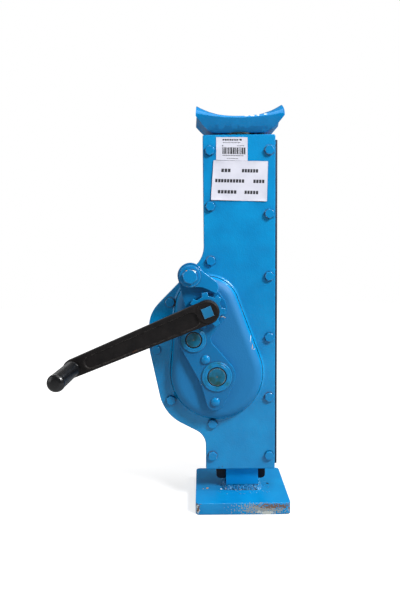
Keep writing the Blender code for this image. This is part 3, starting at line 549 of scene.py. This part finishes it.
FOOT_PAINT = paint("foot_paint", "088dcb", "057cbc", wear_and_edge_light=1.0, dirt_and_shade=0.3, grain=0.5, patches=[
    ("8b9394", (40.0, -76.0, 11.0), (40.0, 3.0, 9.0), 0.0, 2.6, 330.0),
    (RUST, (58.0, -76.0, 16.0), (28.0, 3.0, 4.0), 0.0, 2.8, 330.0),
    ("b8c0be", (42.0, -76.0, 3.4), (17.0, 3.0, 3.0), 4.0, 1.4, 320.0),
    (BARE, (-84.0, -76.0, 11.0), (6.0, 4.0, 11.0), 0.0, 1.2, 300.0),
    (RUST, (-80.0, -76.0, 12.0), (2.6, 4.0, 8.0), 20.0, 1.4, 320.0),
    (RUST, (-88.0, -76.0, 19.0), (7.0, 4.0, 3.0), 0.0, 1.2, 320.0),
    (RUST, (87.0, -75.0, 11.0), (3.4, 5.0, 12.0), 0.0, 1.6, 400.0),
    (PRIMER, (-62.6, -15.8, 22.0), (2.6, 3.4, 1.5), 0.0),
    (PRIMER, (-70.5, -18.0, 22.0), (1.2, 1.6, 1.5), 0.0),
    ("0d2d40", (55.3, 2.0, 22.0), (2.6, 3.4, 1.5), 0.0),
    (CHIP, (-36.0, -20.0, 22.0), (2.0, 2.6, 1.5), 0.0, 1.3)])
WELD_PAINT = paint("weld_paint", "2c96cf", "0b6ca6", wear_and_edge_light=0.9, dirt_and_shade=1.0, grain=0.5, crease=3.0)
RACK_PAINT = paint("rack_paint", "0a97dc", "0788cc", wear_and_edge_light=0.5)
# Heavy pale edges on the square: painted highlight.
SQUARE_PAINT = paint("square_paint", "1f77a6", "176a98", wear_and_edge_light=2.2, dirt_and_shade=0.0)
FORGED = forged("forged_black", "0b090a", "171414")
GUIDE_BLACK = forged("guide_black", "0b0b12", "11121a")
STEEL = steel("greased_steel")
SHAFT_FACE = greasy_paint("shaft_face", "0a668a", "12484c", 0.9)
BUSH_FACE = greasy_paint("bush_face", "0a7ab4", "12606c", 0.5)
# Near-black grease with painted shade, for the gaps round the shafts and under the saddle.
GAP_BLACK = greasy_paint("gap_grease_and_shade", "0a0f12", "050607", 1.0)
SLEEVE = plastic("grip_plastic")
PAPER = paper("label_paper")
INK = ink("label_ink")


# ---------------------------------------------------------------- housing
def arc(centre, radius, start, end, steps):
    """Points along an arc of (inset, depth), with angles in degrees."""
    angles = (math.radians(start + (end - start) * k / steps) for k in range(steps + 1))
    return [polar(centre, radius, angle) for angle in angles]


def make_cover():
    """Bolted front cover: a plate pressed into a dome with a soft foot and a broad shoulder."""
    mesh = bmesh.new()
    front, back, sheet = COVER_FRONT, COVER_HIGH.y, 4.0
    foot, shoulder, dome_front = 4.5, 18.0, COVER_LOW.y

    def dome_ring(amount, depth):
        loop = belt([(*MAIN, DOME_RADIUS_MAIN - amount), (*CRANK, DOME_RADIUS_CRANK - amount)])
        return dots(mesh, ((x, depth, z) for x, z in loop))

    slope = arc((-foot, front - foot), foot, 90, 0, 5)
    slope += arc((1.0 + shoulder, dome_front + shoulder), shoulder, 180, 270, 8)
    slope = [(-foot - SUPPORT, front)] + slope + [(1.0 + shoulder + SUPPORT, dome_front)]
    outer = [dome_ring(*step) for step in slope]
    inside = [(-1.0, back), (sheet + 1.0, back - 6.0), (sheet + 6.0, dome_front + sheet + 4.0),
              (sheet + 13.0, dome_front + sheet)]
    inner = [dome_ring(*step) for step in inside]
    for rings in (outer, inner):
        skin(mesh, rings)
        fill(mesh, [rings[-1]])
    points = cleaned(housing_outline(COLUMN_RIGHT), clockwise=False)
    rings = [dots(mesh, ((p.x, depth, p.y) for p in inset(points, amount)))
             for amount, depth in rim(front, back, 1.6)]
    skin(mesh, rings)
    fill(mesh, [rings[-1], outer[0]])
    fill(mesh, [rings[0], inner[0]])
    piece("front_cover_pressing", mesh, COVER_PAINT, "housing", "front_cover", sharp=50)


def make_shell():
    """Flange, walls, back plate, side bar and top plate."""
    low, high = corners("bolting_flange")
    outline = housing_outline(high.x)
    piece("flange_ring", plate([outline, belt(FLANGE_OPENING)], low.y, high.y, 0.6), SHELL_PAINT,
          "housing", "bolting_flange")

    low, high = corners("left_wall")
    wall = 8.0
    thinner = [(x, z, radius - wall) for x, z, radius in BULGE]
    outer = [(COLUMN_LEFT, high.z, 0.0), *BULGE, (COLUMN_LEFT, low.z, 0.0)]
    inner = [(COLUMN_LEFT + wall, high.z, 0.0), *thinner, (COLUMN_LEFT + wall, low.z, 0.0)]
    strip = belt(outer, closed=False) + belt(inner, closed=False)[::-1]
    piece("left_wall_bent", plate([strip], low.y, high.y, 0.5), SHELL_PAINT, "housing", "left_wall")

    low, high = corners("back_plate")
    openings = [circle(centre, radius) for centre, radius in ((CRANK, 13.6), (LAYSHAFT, 15.6), (MAIN, 18.6))]
    piece("back_plate_flat", plate([outline, *openings], low.y, high.y, 1.0), SHELL_PAINT,
          "housing", "back_plate")
    piece("side_bar", refined("right_side_bar", 1.2, 3), BAR_PAINT_AND_SHADE, "housing", "right_side_bar")
    piece("top_plate_rounded", refined("top_plate", 0.8), SHELL_PAINT, "housing", "top_plate")
    piece("lower_guide_block", refined("lower_guide", 1.4, 3), GUIDE_BLACK, "housing", "lower_guide")


def make_seams():
    """Weld seams that join the back plate to the side bar."""
    def bead(name, route, radius, seed):
        mesh = bmesh.new()
        rings = []
        for i, (x, y, z) in enumerate(route):
            ripple = 1.0 + 0.16 * math.sin(2.1 * i) + 0.25 * noise.noise(Vector((i * 0.13, seed, 0.0)))
            rings.append(dots(mesh, ((*spot, z) for spot in circle((x, y), radius * ripple, 10))))
        skin(mesh, rings)
        fill(mesh, [rings[0]])
        fill(mesh, [rings[-1]])
        piece(name, mesh, WELD_PAINT, "housing", sharp=70)

    low, high = corners("right_side_bar")
    seam_x, seam_y = low.x - 0.6, high.y - 0.9
    stretch = 34.0
    for number, start in enumerate((110.0, 235.0, 360.0, 485.0, 610.0), start=1):
        route = [(seam_x, seam_y, start + stretch * k / 40) for k in range(41)]
        bead(f"seam_weld_{number}", route, 1.9, number * 3.7)


def make_bolts():
    """Cover bolts, each turned a little differently."""
    across, shank = 15.6, 4.0
    for number in range(1, 15):
        name = f"cover_bolt_{number:02d}"
        low, high = corners(name)
        turn = math.radians((8 + 23 * number) % 60)
        seat, head = COVER_FRONT - 0.1, COVER_FRONT - low.y - 0.3
        bolt = hex_bolt(middle_of(name), across, seat, head, turn, shank, high.y)
        piece(name + "_chamfered", bolt, BOLT_PAINT, "housing", name, sharp=22)


def make_bridge():
    """Bearing bridge with its three bushes and two rivets."""
    low, high = corners("bearing_bridge")
    outline = belt([(PAWL[0], PAWL[1] + 1.0, 22.5), (-126.0, 361.0, -30.0), (*LAYSHAFT, 28.0), (*MAIN, 31.0),
                    (*LOWER_RIVET, 16.5), (*MAIN, 33.5), (-43.0, 320.5, -11.0), (*CRANK, 35.0)])
    sleeves = ((CRANK, 16.3), (LAYSHAFT, 17.3), (MAIN, 20.3))
    holes = [circle(axis, radius) for axis, radius in sleeves]
    piece("bearing_bridge_plate", plate([outline, *holes], low.y, high.y, 1.3), BRIDGE_PAINT,
          "housing", "bearing_bridge")

    # Name, axis, and radii of the sleeve, bore, flange and recess
    bushes = (("crank", CRANK, 16.0, 12.8, 22.0, 14.0), ("layshaft", LAYSHAFT, 17.0, 13.5, 22.5, 15.1),
              ("main", MAIN, 20.0, 16.1, 27.2, 17.6))
    for name, axis, sleeve, bore, flange, recess in bushes:
        box_low, box_high = corners("front_bush_" + name)
        front, back, seat = box_low.y, box_high.y, low.y - 0.1
        ring = [(bore, back), (bore, front + 2.4), (recess, front + 1.9), (recess, front + 0.5),
                (recess + 0.8, front), (flange - 4.2, front), (flange - 3.6, front + 0.6),
                (flange - 2.9, front + 0.2), (flange - 0.9, front + 0.3), (flange, front + 1.1),
                (flange, seat), (sleeve, seat), (sleeve, back)]
        piece(f"bush_{name}", turned(softened(ring, 0.5), axis, closed=True), BUSH_FACE,
              "housing", "front_bush_" + name)
        # Near-black ring in the gap round each shaft: grease and painted shade.
        packing = [(bore, front + 2.3), (recess + 0.2, front + 1.7),
                   (recess + 0.2, front + 3.0), (bore, front + 3.0)]
        piece(f"bush_grease_and_shade_{name}", turned(packing, axis, closed=True), GAP_BLACK, "housing")

    for name, centre in (("upper", UPPER_RIVET), ("lower", LOWER_RIVET)):
        box_low, box_high = corners("bridge_rivet_" + name)
        radius, height, seat = (box_high.x - box_low.x) / 2, low.y - box_low.y, low.y + 0.2
        dome = [(radius * math.sin(a), seat - height * math.cos(a) ** 0.9)
                for a in (math.pi / 2 * k / 10 for k in range(11))]
        profile = [*dome, (5.0, seat + 0.3), (5.0, box_high.y), (0.0, box_high.y)]
        piece(f"rivet_{name}", turned(profile, centre), BOLT_PAINT,
              "housing", "bridge_rivet_" + name, sharp=60)


def make_rear_bearings():
    """Closed bearing cups on the back plate, each with a raised centre."""
    for name, axis in (("crank", CRANK), ("layshaft", LAYSHAFT), ("main", MAIN)):
        node = "rear_bearing_" + name
        low, high = corners(node)
        flange, back = (high.x - low.x) / 2, high.y
        seat = corners("back_plate")[1].y + 0.1
        profile = [(0.0, low.y + 1.0), (flange - 9.0, low.y + 1.0), (flange - 9.0, seat), (flange, seat),
                   (flange, seat + 2.6), (flange - 1.6, seat + 3.8), (flange - 6.5, seat + 3.8),
                   (flange - 7.6, back), (0.0, back)]
        piece(node + "_cup", turned(softened(profile, 0.9), axis), SHELL_PAINT, "housing", node)


# ---------------------------------------------------------------- ratchet, pawl and shafts
def make_ratchet():
    """Ratchet wheel on the crank, with broad flat-topped teeth."""
    low, high = corners("ratchet_wheel")
    teeth, tip, root, phase = 7, 32.0, 25.0, math.radians(98.5)
    corners_of_tooth = ((-14.0, root), (-9.0, tip), (9.0, tip), (14.0, root))
    outline = [polar(CRANK, radius, phase + 2 * math.pi * i / teeth + math.radians(offset))
               for i in range(teeth) for offset, radius in corners_of_tooth]
    piece("ratchet", plate([outline, circle(CRANK, 12.8)], low.y, high.y, 0.9), PAWL_PAINT,
          "crank", "ratchet_wheel", sharp=50)


def make_pawl():
    """Pawl lever, lifted just clear of the ratchet, with its washer and bolt."""
    low, high = corners("pawl_lever")
    lifted = math.radians(4.6)
    dropped = [(*PAWL, 20.0), (-82.0, 375.0, -39.0), (-47.6, 402.5, 2.5), (-57.5, 411.5, 15.5)]
    circles = []
    for x, z, radius in dropped:
        reach, angle = math.hypot(x - PAWL[0], z - PAWL[1]), math.atan2(z - PAWL[1], x - PAWL[0])
        circles.append((*polar(PAWL, reach, angle + lifted), radius))
    lever = plate([belt(circles), circle(PAWL, 8.3)], low.y, high.y, 1.2)
    piece("pawl", lever, PAWL_PAINT, "pawl", "pawl_lever")

    low, high = corners("pawl_washer")
    ring = [(8.3, high.y), (8.3, low.y), (18.5, low.y), (18.5, high.y)]
    washer = turned(softened([*ring, ring[0]], 0.8)[:-1], PAWL, closed=True)
    piece("washer", washer, PAWL_PAINT, "housing", "pawl_washer")
    front, tip = corners("pawl_bolt")
    across, shank = 24.0, 8.0
    bolt = hex_bolt(PAWL, across, low.y - 0.1, low.y - front.y - 0.1, math.radians(12), shank, tip.y)
    piece("pawl_pivot_bolt", bolt, PAWL_PAINT, "housing", "pawl_bolt", sharp=22)


def make_shaft_ends():
    """Chamfered faces of the two gear shafts, each with a small centre hole."""
    for name, body, axis, radius in (("layshaft", "layshaft_gears", LAYSHAFT, 13.3),
                                     ("main_shaft", "main_gears", MAIN, 15.9)):
        front = corners(name)[0].y - 0.25
        profile = [(0.0, front + 1.4), (1.3, front + 0.3), (2.0, front), (radius - 1.1, front),
                   (radius, front + 1.0), (radius, front + 3.5), (0.0, front + 3.5)]
        piece(name + "_face", turned(profile, axis), SHAFT_FACE, body)


# ---------------------------------------------------------------- crank and grip
def square(side, turn):
    return [polar(CRANK, side / math.sqrt(2), turn + math.radians(45 + 90 * k)) for k in range(4)]


def make_crank():
    """Forged crank arm with a long pocket, its hub, and the painted square that drives it."""
    low, high = corners("crank_arm")
    arm_front, arm_back, hub_front = -108.0, -94.0, low.y
    length = math.hypot(GRIP[0] - CRANK[0], GRIP[1] - CRANK[1])

    def along(distance, aside=0.0):
        x, z = polar(CRANK, distance, CRANK_HEADING)
        return polar((x, z), aside, CRANK_HEADING + math.pi / 2)

    outline = belt([(*CRANK, 20.5), (*GRIP, 16.0)])
    pocket = belt([(*along(30.0, 2.4), 13.6), (*along(length - 34.0, 1.6), 10.6)])
    hole = square(18.1, CRANK_HEADING)
    arm = plate([outline, hole], arm_front, arm_back, 2.2, pockets=[(pocket, 2.6)])
    piece("crank_arm_forging", arm, FORGED, "crank", "crank_arm")

    hub = plate([circle(CRANK, 18.6), hole], hub_front, high.y, 1.1)
    piece("crank_hub", hub, FORGED, "crank")
    drive_front = corners("crank_shaft")[0].y - 0.1
    drive = plate([square(17.8, CRANK_HEADING)], drive_front, drive_front + 12.0, 0.9)
    piece("crank_square", drive, SQUARE_PAINT, "crank")


def make_grip():
    """Moulded sleeve with fine ribs round it and a fuller rounded cap, on its spindle."""
    low, high = corners("crank_grip")
    front, back, radius = low.y, high.y, (high.x - low.x) / 2
    cap = [(0.0, front), (7.0, front + 0.3), (11.0, front + 1.7), (13.4, front + 4.2),
           (radius, front + 7.2), (radius, front + 9.6), (13.3, front + 10.8)]
    ribs, first, pitch = 26, front + 12.0, 3.05
    sleeve = []
    for i in range(ribs):
        start = first + pitch * i
        sleeve += [(13.4, start), (13.75, start + 0.7), (13.75, start + 2.0), (13.4, start + 2.7)]
    collar = [(13.4, back - 6.0), (radius, back - 5.0), (radius, back - 1.5), (13.0, back), (0.0, back)]
    piece("grip_sleeve", turned(softened(cap + sleeve + collar, 0.5), GRIP, steps=72), SLEEVE,
          "grip", "crank_grip", sharp=60)
    head_front, head_back = -93.7, corners("grip_spindle")[1].y
    head = [(0.0, head_front - 12.0), (6.5, head_front - 12.0), (6.5, head_front), (10.0, head_front),
            (9.6, head_front + 1.6), (7.0, head_back - 0.2), (0.0, head_back)]
    piece("spindle_head", turned(head, GRIP), STEEL, "crank", "grip_spindle")


# ---------------------------------------------------------------- foot
def make_foot():
    """Base plate with its flame-cut sides a little uneven, and the rack bar."""
    low, high = corners("base_plate")
    outline = belt(rounded_box(low.x, low.y, high.x, high.y, 8.0))
    base = plate([outline], low.z, high.z, 1.3, level=True)
    for vert in base.verts:
        if 1.0 * MM < vert.co.z < (high.z - 1.0) * MM:
            wobble = noise.noise(vert.co * 90.0) * 0.25 + noise.noise(vert.co * 300.0) * 0.12
            middle = Vector(((low.x + high.x) / 2, (low.y + high.y) / 2, vert.co.z / MM)) * MM
            vert.co += (middle - vert.co).normalized() * abs(wobble) * MM
    piece("base_plate_cut", base, FOOT_PAINT, "foot", "base_plate")
    piece("rack_bar_edges", refined("rack_bar", 0.6), RACK_PAINT, "foot", "rack_bar")


def make_foot_weld():
    """Rough fillet weld round the foot of the bar: rippled scales of uneven size."""
    low, high = corners("foot_weld")
    leg, floor = 7.0, low.z - 0.2
    bar = (low.x + leg, low.y + leg, high.x - leg, high.y - leg)
    throat = leg * 1.1
    route = cleaned(belt(rounded_box(bar[0] + 0.4, bar[1] + 0.4, bar[2] - 0.4, bar[3] - 0.4, 1.5)), False)
    spaced = []
    for a, b in zip(route, route[1:] + route[:1]):
        pieces = max(1, round((b - a).length / 0.7))
        spaced += [a.lerp(b, k / pieces) for k in range(pieces)]
    mesh = bmesh.new()
    rings, steps, travelled = [], 9, 0.0
    for i, point in enumerate(spaced):
        ahead, behind = spaced[(i + 1) % len(spaced)], spaced[i - 1]
        travelled += (point - behind).length
        out = Vector((ahead.y - behind.y, behind.x - ahead.x)).normalized()
        scale = (travelled / 3.1) % 1.0
        reach = throat * (0.80 + 0.2 * scale + 0.4 * noise.noise(Vector((travelled * 0.11, 3.0, 0.0))))
        ring = []
        for k in range(steps + 1):
            angle = math.pi / 2 * k / steps
            swell = 1.0 + 0.4 * noise.noise(Vector((travelled * 0.35, k * 0.6, 8.0)))
            swell *= 1.0 - 0.10 * math.sin(2 * angle)
            side = point + out * reach * swell * math.cos(angle)
            ring.append((side.x, side.y, floor + reach * swell * math.sin(angle)))
        inward = point - out * 0.8
        ring += [(inward.x, inward.y, ring[-1][2]), (inward.x, inward.y, floor)]
        rings.append(dots(mesh, ring))
    skin(mesh, rings + [rings[0]])
    piece("weld_bead", mesh, WELD_PAINT, "foot", "foot_weld", sharp=70)

    chance = random.Random(7)
    spatter = bmesh.new()
    for _ in range(34):
        side = chance.choice((-1, 1))
        spot = Vector((chance.uniform(bar[0] - 20, bar[2] + 20), bar[1] - chance.uniform(6, 22), 0.0))
        if chance.random() < 0.35:
            spot = Vector(((bar[0] if side < 0 else bar[2]) + side * chance.uniform(8, 22),
                           chance.uniform(bar[1], bar[3]), 0.0))
        size = chance.uniform(0.5, 1.5)
        spot.z = floor - 0.1
        drop = bmesh.ops.create_icosphere(spatter, subdivisions=2, radius=size * MM)["verts"]
        for vert in drop:
            vert.co = Vector((vert.co.x * 1.2, vert.co.y, vert.co.z * 0.7)) + spot * MM
    piece("weld_spatter", spatter, WELD_PAINT, "foot", sharp=80)


# ---------------------------------------------------------------- saddle
def make_saddle():
    """Boat-shaped saddle: flared horns, hull that narrows downwards, hollow seat."""
    low, high = corners("load_saddle")
    centre_x, half_depth = (low.x + high.x) / 2, (high.y - low.y) / 2
    bottom, half_base, corner = corners("thrust_washer")[1].z + 0.3, 56.0, 17.0
    depths, across_steps, seat_floor = 28, 40, 714.0
    mesh = bmesh.new()
    rings = []
    for d in range(depths + 1):
        y = half_depth * math.sin(math.pi * (d / depths - 0.5))
        crown, lip = 1.0 - (y / half_depth) ** 2, max(0.0, 1.0 - (half_depth - abs(y)) / 5.0)
        half_length = 78.5 - 2.0 * crown
        underside = bottom + 26.0 + 5.0 * crown
        flank = Vector((half_length - half_base, underside - bottom)).normalized()
        start, knee = Vector((half_base - corner, bottom)), Vector((half_base, bottom))
        side = [bend(start, knee, knee + flank * corner, t) for t in (0.0, 0.2, 0.4, 0.6, 0.8, 1.0)]
        tip = Vector((half_length, underside))
        side += [side[-1].lerp(tip, t) for t in (0.25, 0.5, 0.75, 1.0)]
        top = []
        for k in range(across_steps + 1):
            across = half_length * (1.0 - 2.0 * k / across_steps)
            curve = (8.0 + 15.0 * crown) * (across / half_length) ** 2
            top.append(Vector((across, seat_floor + 4.0 * crown + curve - 3.2 * lip ** 2)))
        section = side + top + [Vector((-p.x, p.y)) for p in side[::-1]]
        ring = []
        for p in section:
            rise = min(1.0, max(0.0, (p.y - bottom) / 27.0))
            lean = 0.66 + 0.34 * math.sin(rise * math.pi / 2)
            ring.append((centre_x + p.x, y * lean, p.y))
        rings.append(dots(mesh, ring))
    skin(mesh, rings)
    mesh.faces.new(rings[0])
    mesh.faces.new(rings[-1][::-1])
    bmesh.ops.recalc_face_normals(mesh, faces=mesh.faces)
    mesh.normal_update()
    sharp = [e for e in mesh.edges if e.calc_face_angle(0) > math.radians(38)]
    bmesh.ops.bevel(mesh, geom=sharp, offset=1.3 * MM, segments=3, profile=0.5, affect="EDGES",
                    clamp_overlap=True)
    bmesh.ops.triangulate(mesh, faces=[f for f in mesh.faces if len(f.verts) > 4])
    roughen(mesh, 0.35, 14.0, 2.0)
    pin_radius = 14.9
    pin = [dots(mesh, ((centre_x + x, y, z) for x, y in circle((0.0, 0.0), pin_radius, 40)))
           for z in (bottom + 3.0, low.z)]
    skin(mesh, pin)
    for ring in pin:
        fill(mesh, [ring])
    piece("saddle_casting", mesh, SADDLE_PAINT, "saddle", "load_saddle", sharp=42)


# ---------------------------------------------------------------- stickers
class Sticker:
    """Thin sheet between four corners (x, z), with its edges lifted a little.

    The corners are the top left, top right, bottom right and bottom left one.
    """

    def __init__(self, name, corner_points, front, lift):
        self.corners = [Vector(p) for p in corner_points]
        self.front, self.lift = front, lift
        columns, rows, thick = 30, 20, 0.22
        mesh = bmesh.new()
        sheets = [[[mesh.verts.new(self.at(c / columns, r / rows, raised)) for c in range(columns + 1)]
                   for r in range(rows + 1)] for raised in (0.0, thick)]
        for sheet in sheets:
            for r in range(rows):
                for c in range(columns):
                    mesh.faces.new((sheet[r][c], sheet[r][c + 1], sheet[r + 1][c + 1], sheet[r + 1][c]))
        border = [(0, c) for c in range(columns)] + [(r, columns) for r in range(rows)]
        border += [(rows, c) for c in range(columns, 0, -1)] + [(r, 0) for r in range(rows, 0, -1)]
        skin(mesh, [[sheet[r][c] for r, c in border] for sheet in sheets])
        piece(name + "_sheet", mesh, PAPER, "housing", name, sharp=50)
        self.marks = bmesh.new()
        self.name = name

    def at(self, u, v, raised):
        """Point on the sticker: u from left to right, v from bottom to top."""
        top_left, top_right, bottom_right, bottom_left = self.corners
        spot = bottom_left.lerp(bottom_right, u).lerp(top_left.lerp(top_right, u), v)
        edge = max(abs(2 * u - 1), abs(2 * v - 1)) ** 10
        curl = self.lift * edge * (0.5 + noise.noise(Vector((u * 3.0, v * 3.0, self.front))))
        return Vector((spot.x, self.front - raised - max(0.0, curl), spot.y)) * MM

    def dash(self, left, right, bottom, top):
        """Flat ink mark that hugs the sheet, in parts of its width and height."""
        columns = max(2, round((right - left) * 30))
        outer, inner = 0.27, 0.2
        sheets = [[[self.marks.verts.new(self.at(left + (right - left) * c / columns, v, raised))
                    for c in range(columns + 1)] for v in (bottom, top)] for raised in (inner, outer)]
        for sheet in sheets:
            for c in range(columns):
                self.marks.faces.new((sheet[0][c], sheet[0][c + 1], sheet[1][c + 1], sheet[1][c]))
        skin(self.marks, [[*sheet[0], *sheet[1][::-1]] for sheet in sheets])

    def dashes(self, left, right, middle, height, count):
        """Row of short blocks with narrow gaps, in place of a word."""
        pitch = (right - left) / count
        for i in range(count):
            self.dash(left + pitch * i, left + pitch * (i + 0.78), middle - height / 2, middle + height / 2)

    def print(self):
        piece(self.name + "_marks", self.marks, INK, "housing")


def make_labels():
    """Two plain stickers: a stock label with bars, and a rating label with rows of dashes."""
    low, high = corners("small_label")
    spots = [(low.x + 0.2, high.z + 0.3), (high.x, high.z - 0.5),
             (high.x, low.z - 1.6), (low.x, low.z + 0.6)]
    stock = Sticker("small_label", spots, high.y + 0.1, 0.35)
    stock.dashes(0.2, 0.72, 0.885, 0.065, 7)
    stock.dash(0.745, 0.815, 0.85, 0.925)
    stock.dashes(0.22, 0.78, 0.765, 0.025, 12)
    stock.dash(0.19, 0.225, 0.60, 0.65)
    stock.dashes(0.66, 0.9, 0.635, 0.022, 5)
    chance = random.Random(3)
    left = 0.19
    while left < 0.9:
        width = chance.choice((0.014, 0.02, 0.032, 0.045))
        stock.dash(left, left + width, 0.27, 0.56)
        left += width + chance.choice((0.009, 0.013, 0.018))
    stock.dashes(0.2, 0.88, 0.21, 0.028, 13)
    stock.dashes(0.34, 0.7, 0.085, 0.025, 9)
    stock.print()

    low, high = corners("rating_label")
    spots = [(low.x + 3.6, high.z + 1.6), (high.x + 1.4, high.z - 1.0),
             (high.x - 0.6, low.z - 2.6), (low.x - 1.8, low.z + 1.0)]
    rating = Sticker("rating_label", spots, high.y - 0.35, 1.3)
    rows = (((0.155, 0.335, 3), (0.53, 0.835, 6)), ((0.055, 0.59, 10), (0.745, 0.955, 4)),
            ((0.115, 0.46, 6), (0.595, 0.85, 5)))
    for middle, words in zip((0.755, 0.495, 0.215), rows):
        for start, end, count in words:
            rating.dashes(start, end, middle, 0.085, count)
    rating.print()


# ---------------------------------------------------------------- nodes carried over
def dress_carried_nodes():
    """Greased steel on every CAD node that still shows, and black grease with painted shade on the thrust
    washer.
    """
    for name, node in frame["nodes"].items():
        if not node.hide_render:
            node.data.materials.clear()
            node.data.materials.append(GAP_BLACK if name == "thrust_washer" else STEEL)


# ---------------------------------------------------------------- floor, light and camera
JACK_MIDDLE = (-0.05, 0.0, 0.38)         # metres


def make_floor():
    """White floor that glows more the further it is, so that it runs into the white room."""
    mesh = bmesh.new()
    bmesh.ops.create_circle(mesh, cap_ends=True, segments=96, radius=4.0)
    data = bpy.data.meshes.new("floor")
    mesh.to_mesh(data)
    mesh.free()
    f = Finish("pale_floor", None, 0.9, specular=0.1)
    f.surface.inputs["Base Color"].default_value = (0.45, 0.45, 0.45, 1.0)
    f.surface.inputs["Emission Color"].default_value = (1.0, 1.0, 1.0, 1.0)
    away = f.node("ShaderNodeVectorMath", {0: f.where}, operation="LENGTH").outputs["Value"]
    glow = f.band(away, 0.15, 1.0, 0.96, 0.66)
    seen = f.node("ShaderNodeLightPath").outputs["Is Camera Ray"]
    data.materials.append(f.done(emission_strength=f.maths("MULTIPLY", glow, seen)))
    floor = bpy.data.objects.new("floor", data)
    bpy.context.scene.collection.objects.link(floor)


def area_light(name, spot, width, power):
    """Square soft light at a spot, facing the middle of the jack, in metres and watts."""
    lamp = bpy.data.lights.new(name, "AREA")
    lamp.size, lamp.energy = width, power
    made = bpy.data.objects.new(name, lamp)
    made.location = spot
    made.rotation_euler = (Vector(JACK_MIDDLE) - Vector(spot)).to_track_quat("-Z", "Y").to_euler()
    bpy.context.scene.collection.objects.link(made)


def make_studio():
    """White room that lights the jack softly, with a key and a side light from the upper right."""
    world = bpy.data.worlds.new("studio")
    world.use_nodes = True
    nodes, links = world.node_tree.nodes, world.node_tree.links
    sky = nodes["Background"]
    sky.inputs["Color"].default_value = (1.0, 1.0, 1.0, 1.0)
    seen = nodes.new("ShaderNodeLightPath").outputs["Is Camera Ray"]
    level = nodes.new("ShaderNodeMapRange")
    level.inputs["To Min"].default_value = 0.16
    links.new(seen, level.inputs["Value"])
    links.new(level.outputs[0], sky.inputs["Strength"])
    bpy.context.scene.world = world
    area_light("key", (1.3, -1.2, 1.75), 0.5, 57.0)
    area_light("top", (0.1, -0.2, 2.2), 1.2, 10.0)
    area_light("fill", (-1.7, -0.9, 0.9), 1.3, 11.0)
    area_light("side", (1.45, -0.3, 1.75), 0.5, 19.0)
    area_light("back", (-1.3, 1.5, 2.0), 1.6, 12.0)
    bpy.context.scene.view_settings.view_transform = "Standard"


def make_camera():
    """Long-side field of 62 degrees from just left of the middle, looking slightly down."""
    lens = bpy.data.cameras.new("camera")
    lens.lens, lens.sensor_width = 30.0, 36.0
    camera = bpy.data.objects.new("camera", lens)
    camera.location = Vector((-68.1, -945.1, 471.2)) * MM
    pitch, yaw, roll = (math.radians(angle) for angle in (-5.18, 0.30, -0.65))
    turn = Euler((0.0, 0.0, yaw)).to_matrix() @ Euler((math.pi / 2 + pitch, 0.0, 0.0)).to_matrix()
    camera.rotation_euler = (turn @ Euler((0.0, 0.0, roll)).to_matrix()).to_euler()
    bpy.context.scene.collection.objects.link(camera)
    bpy.context.scene.camera = camera


make_camera()
make_studio()
make_floor()
make_cover()
make_shell()
make_seams()
make_bolts()
make_bridge()
make_rear_bearings()
make_ratchet()
make_pawl()
make_shaft_ends()
make_crank()
make_grip()
make_foot()
make_foot_weld()
make_saddle()
make_labels()
dress_carried_nodes()
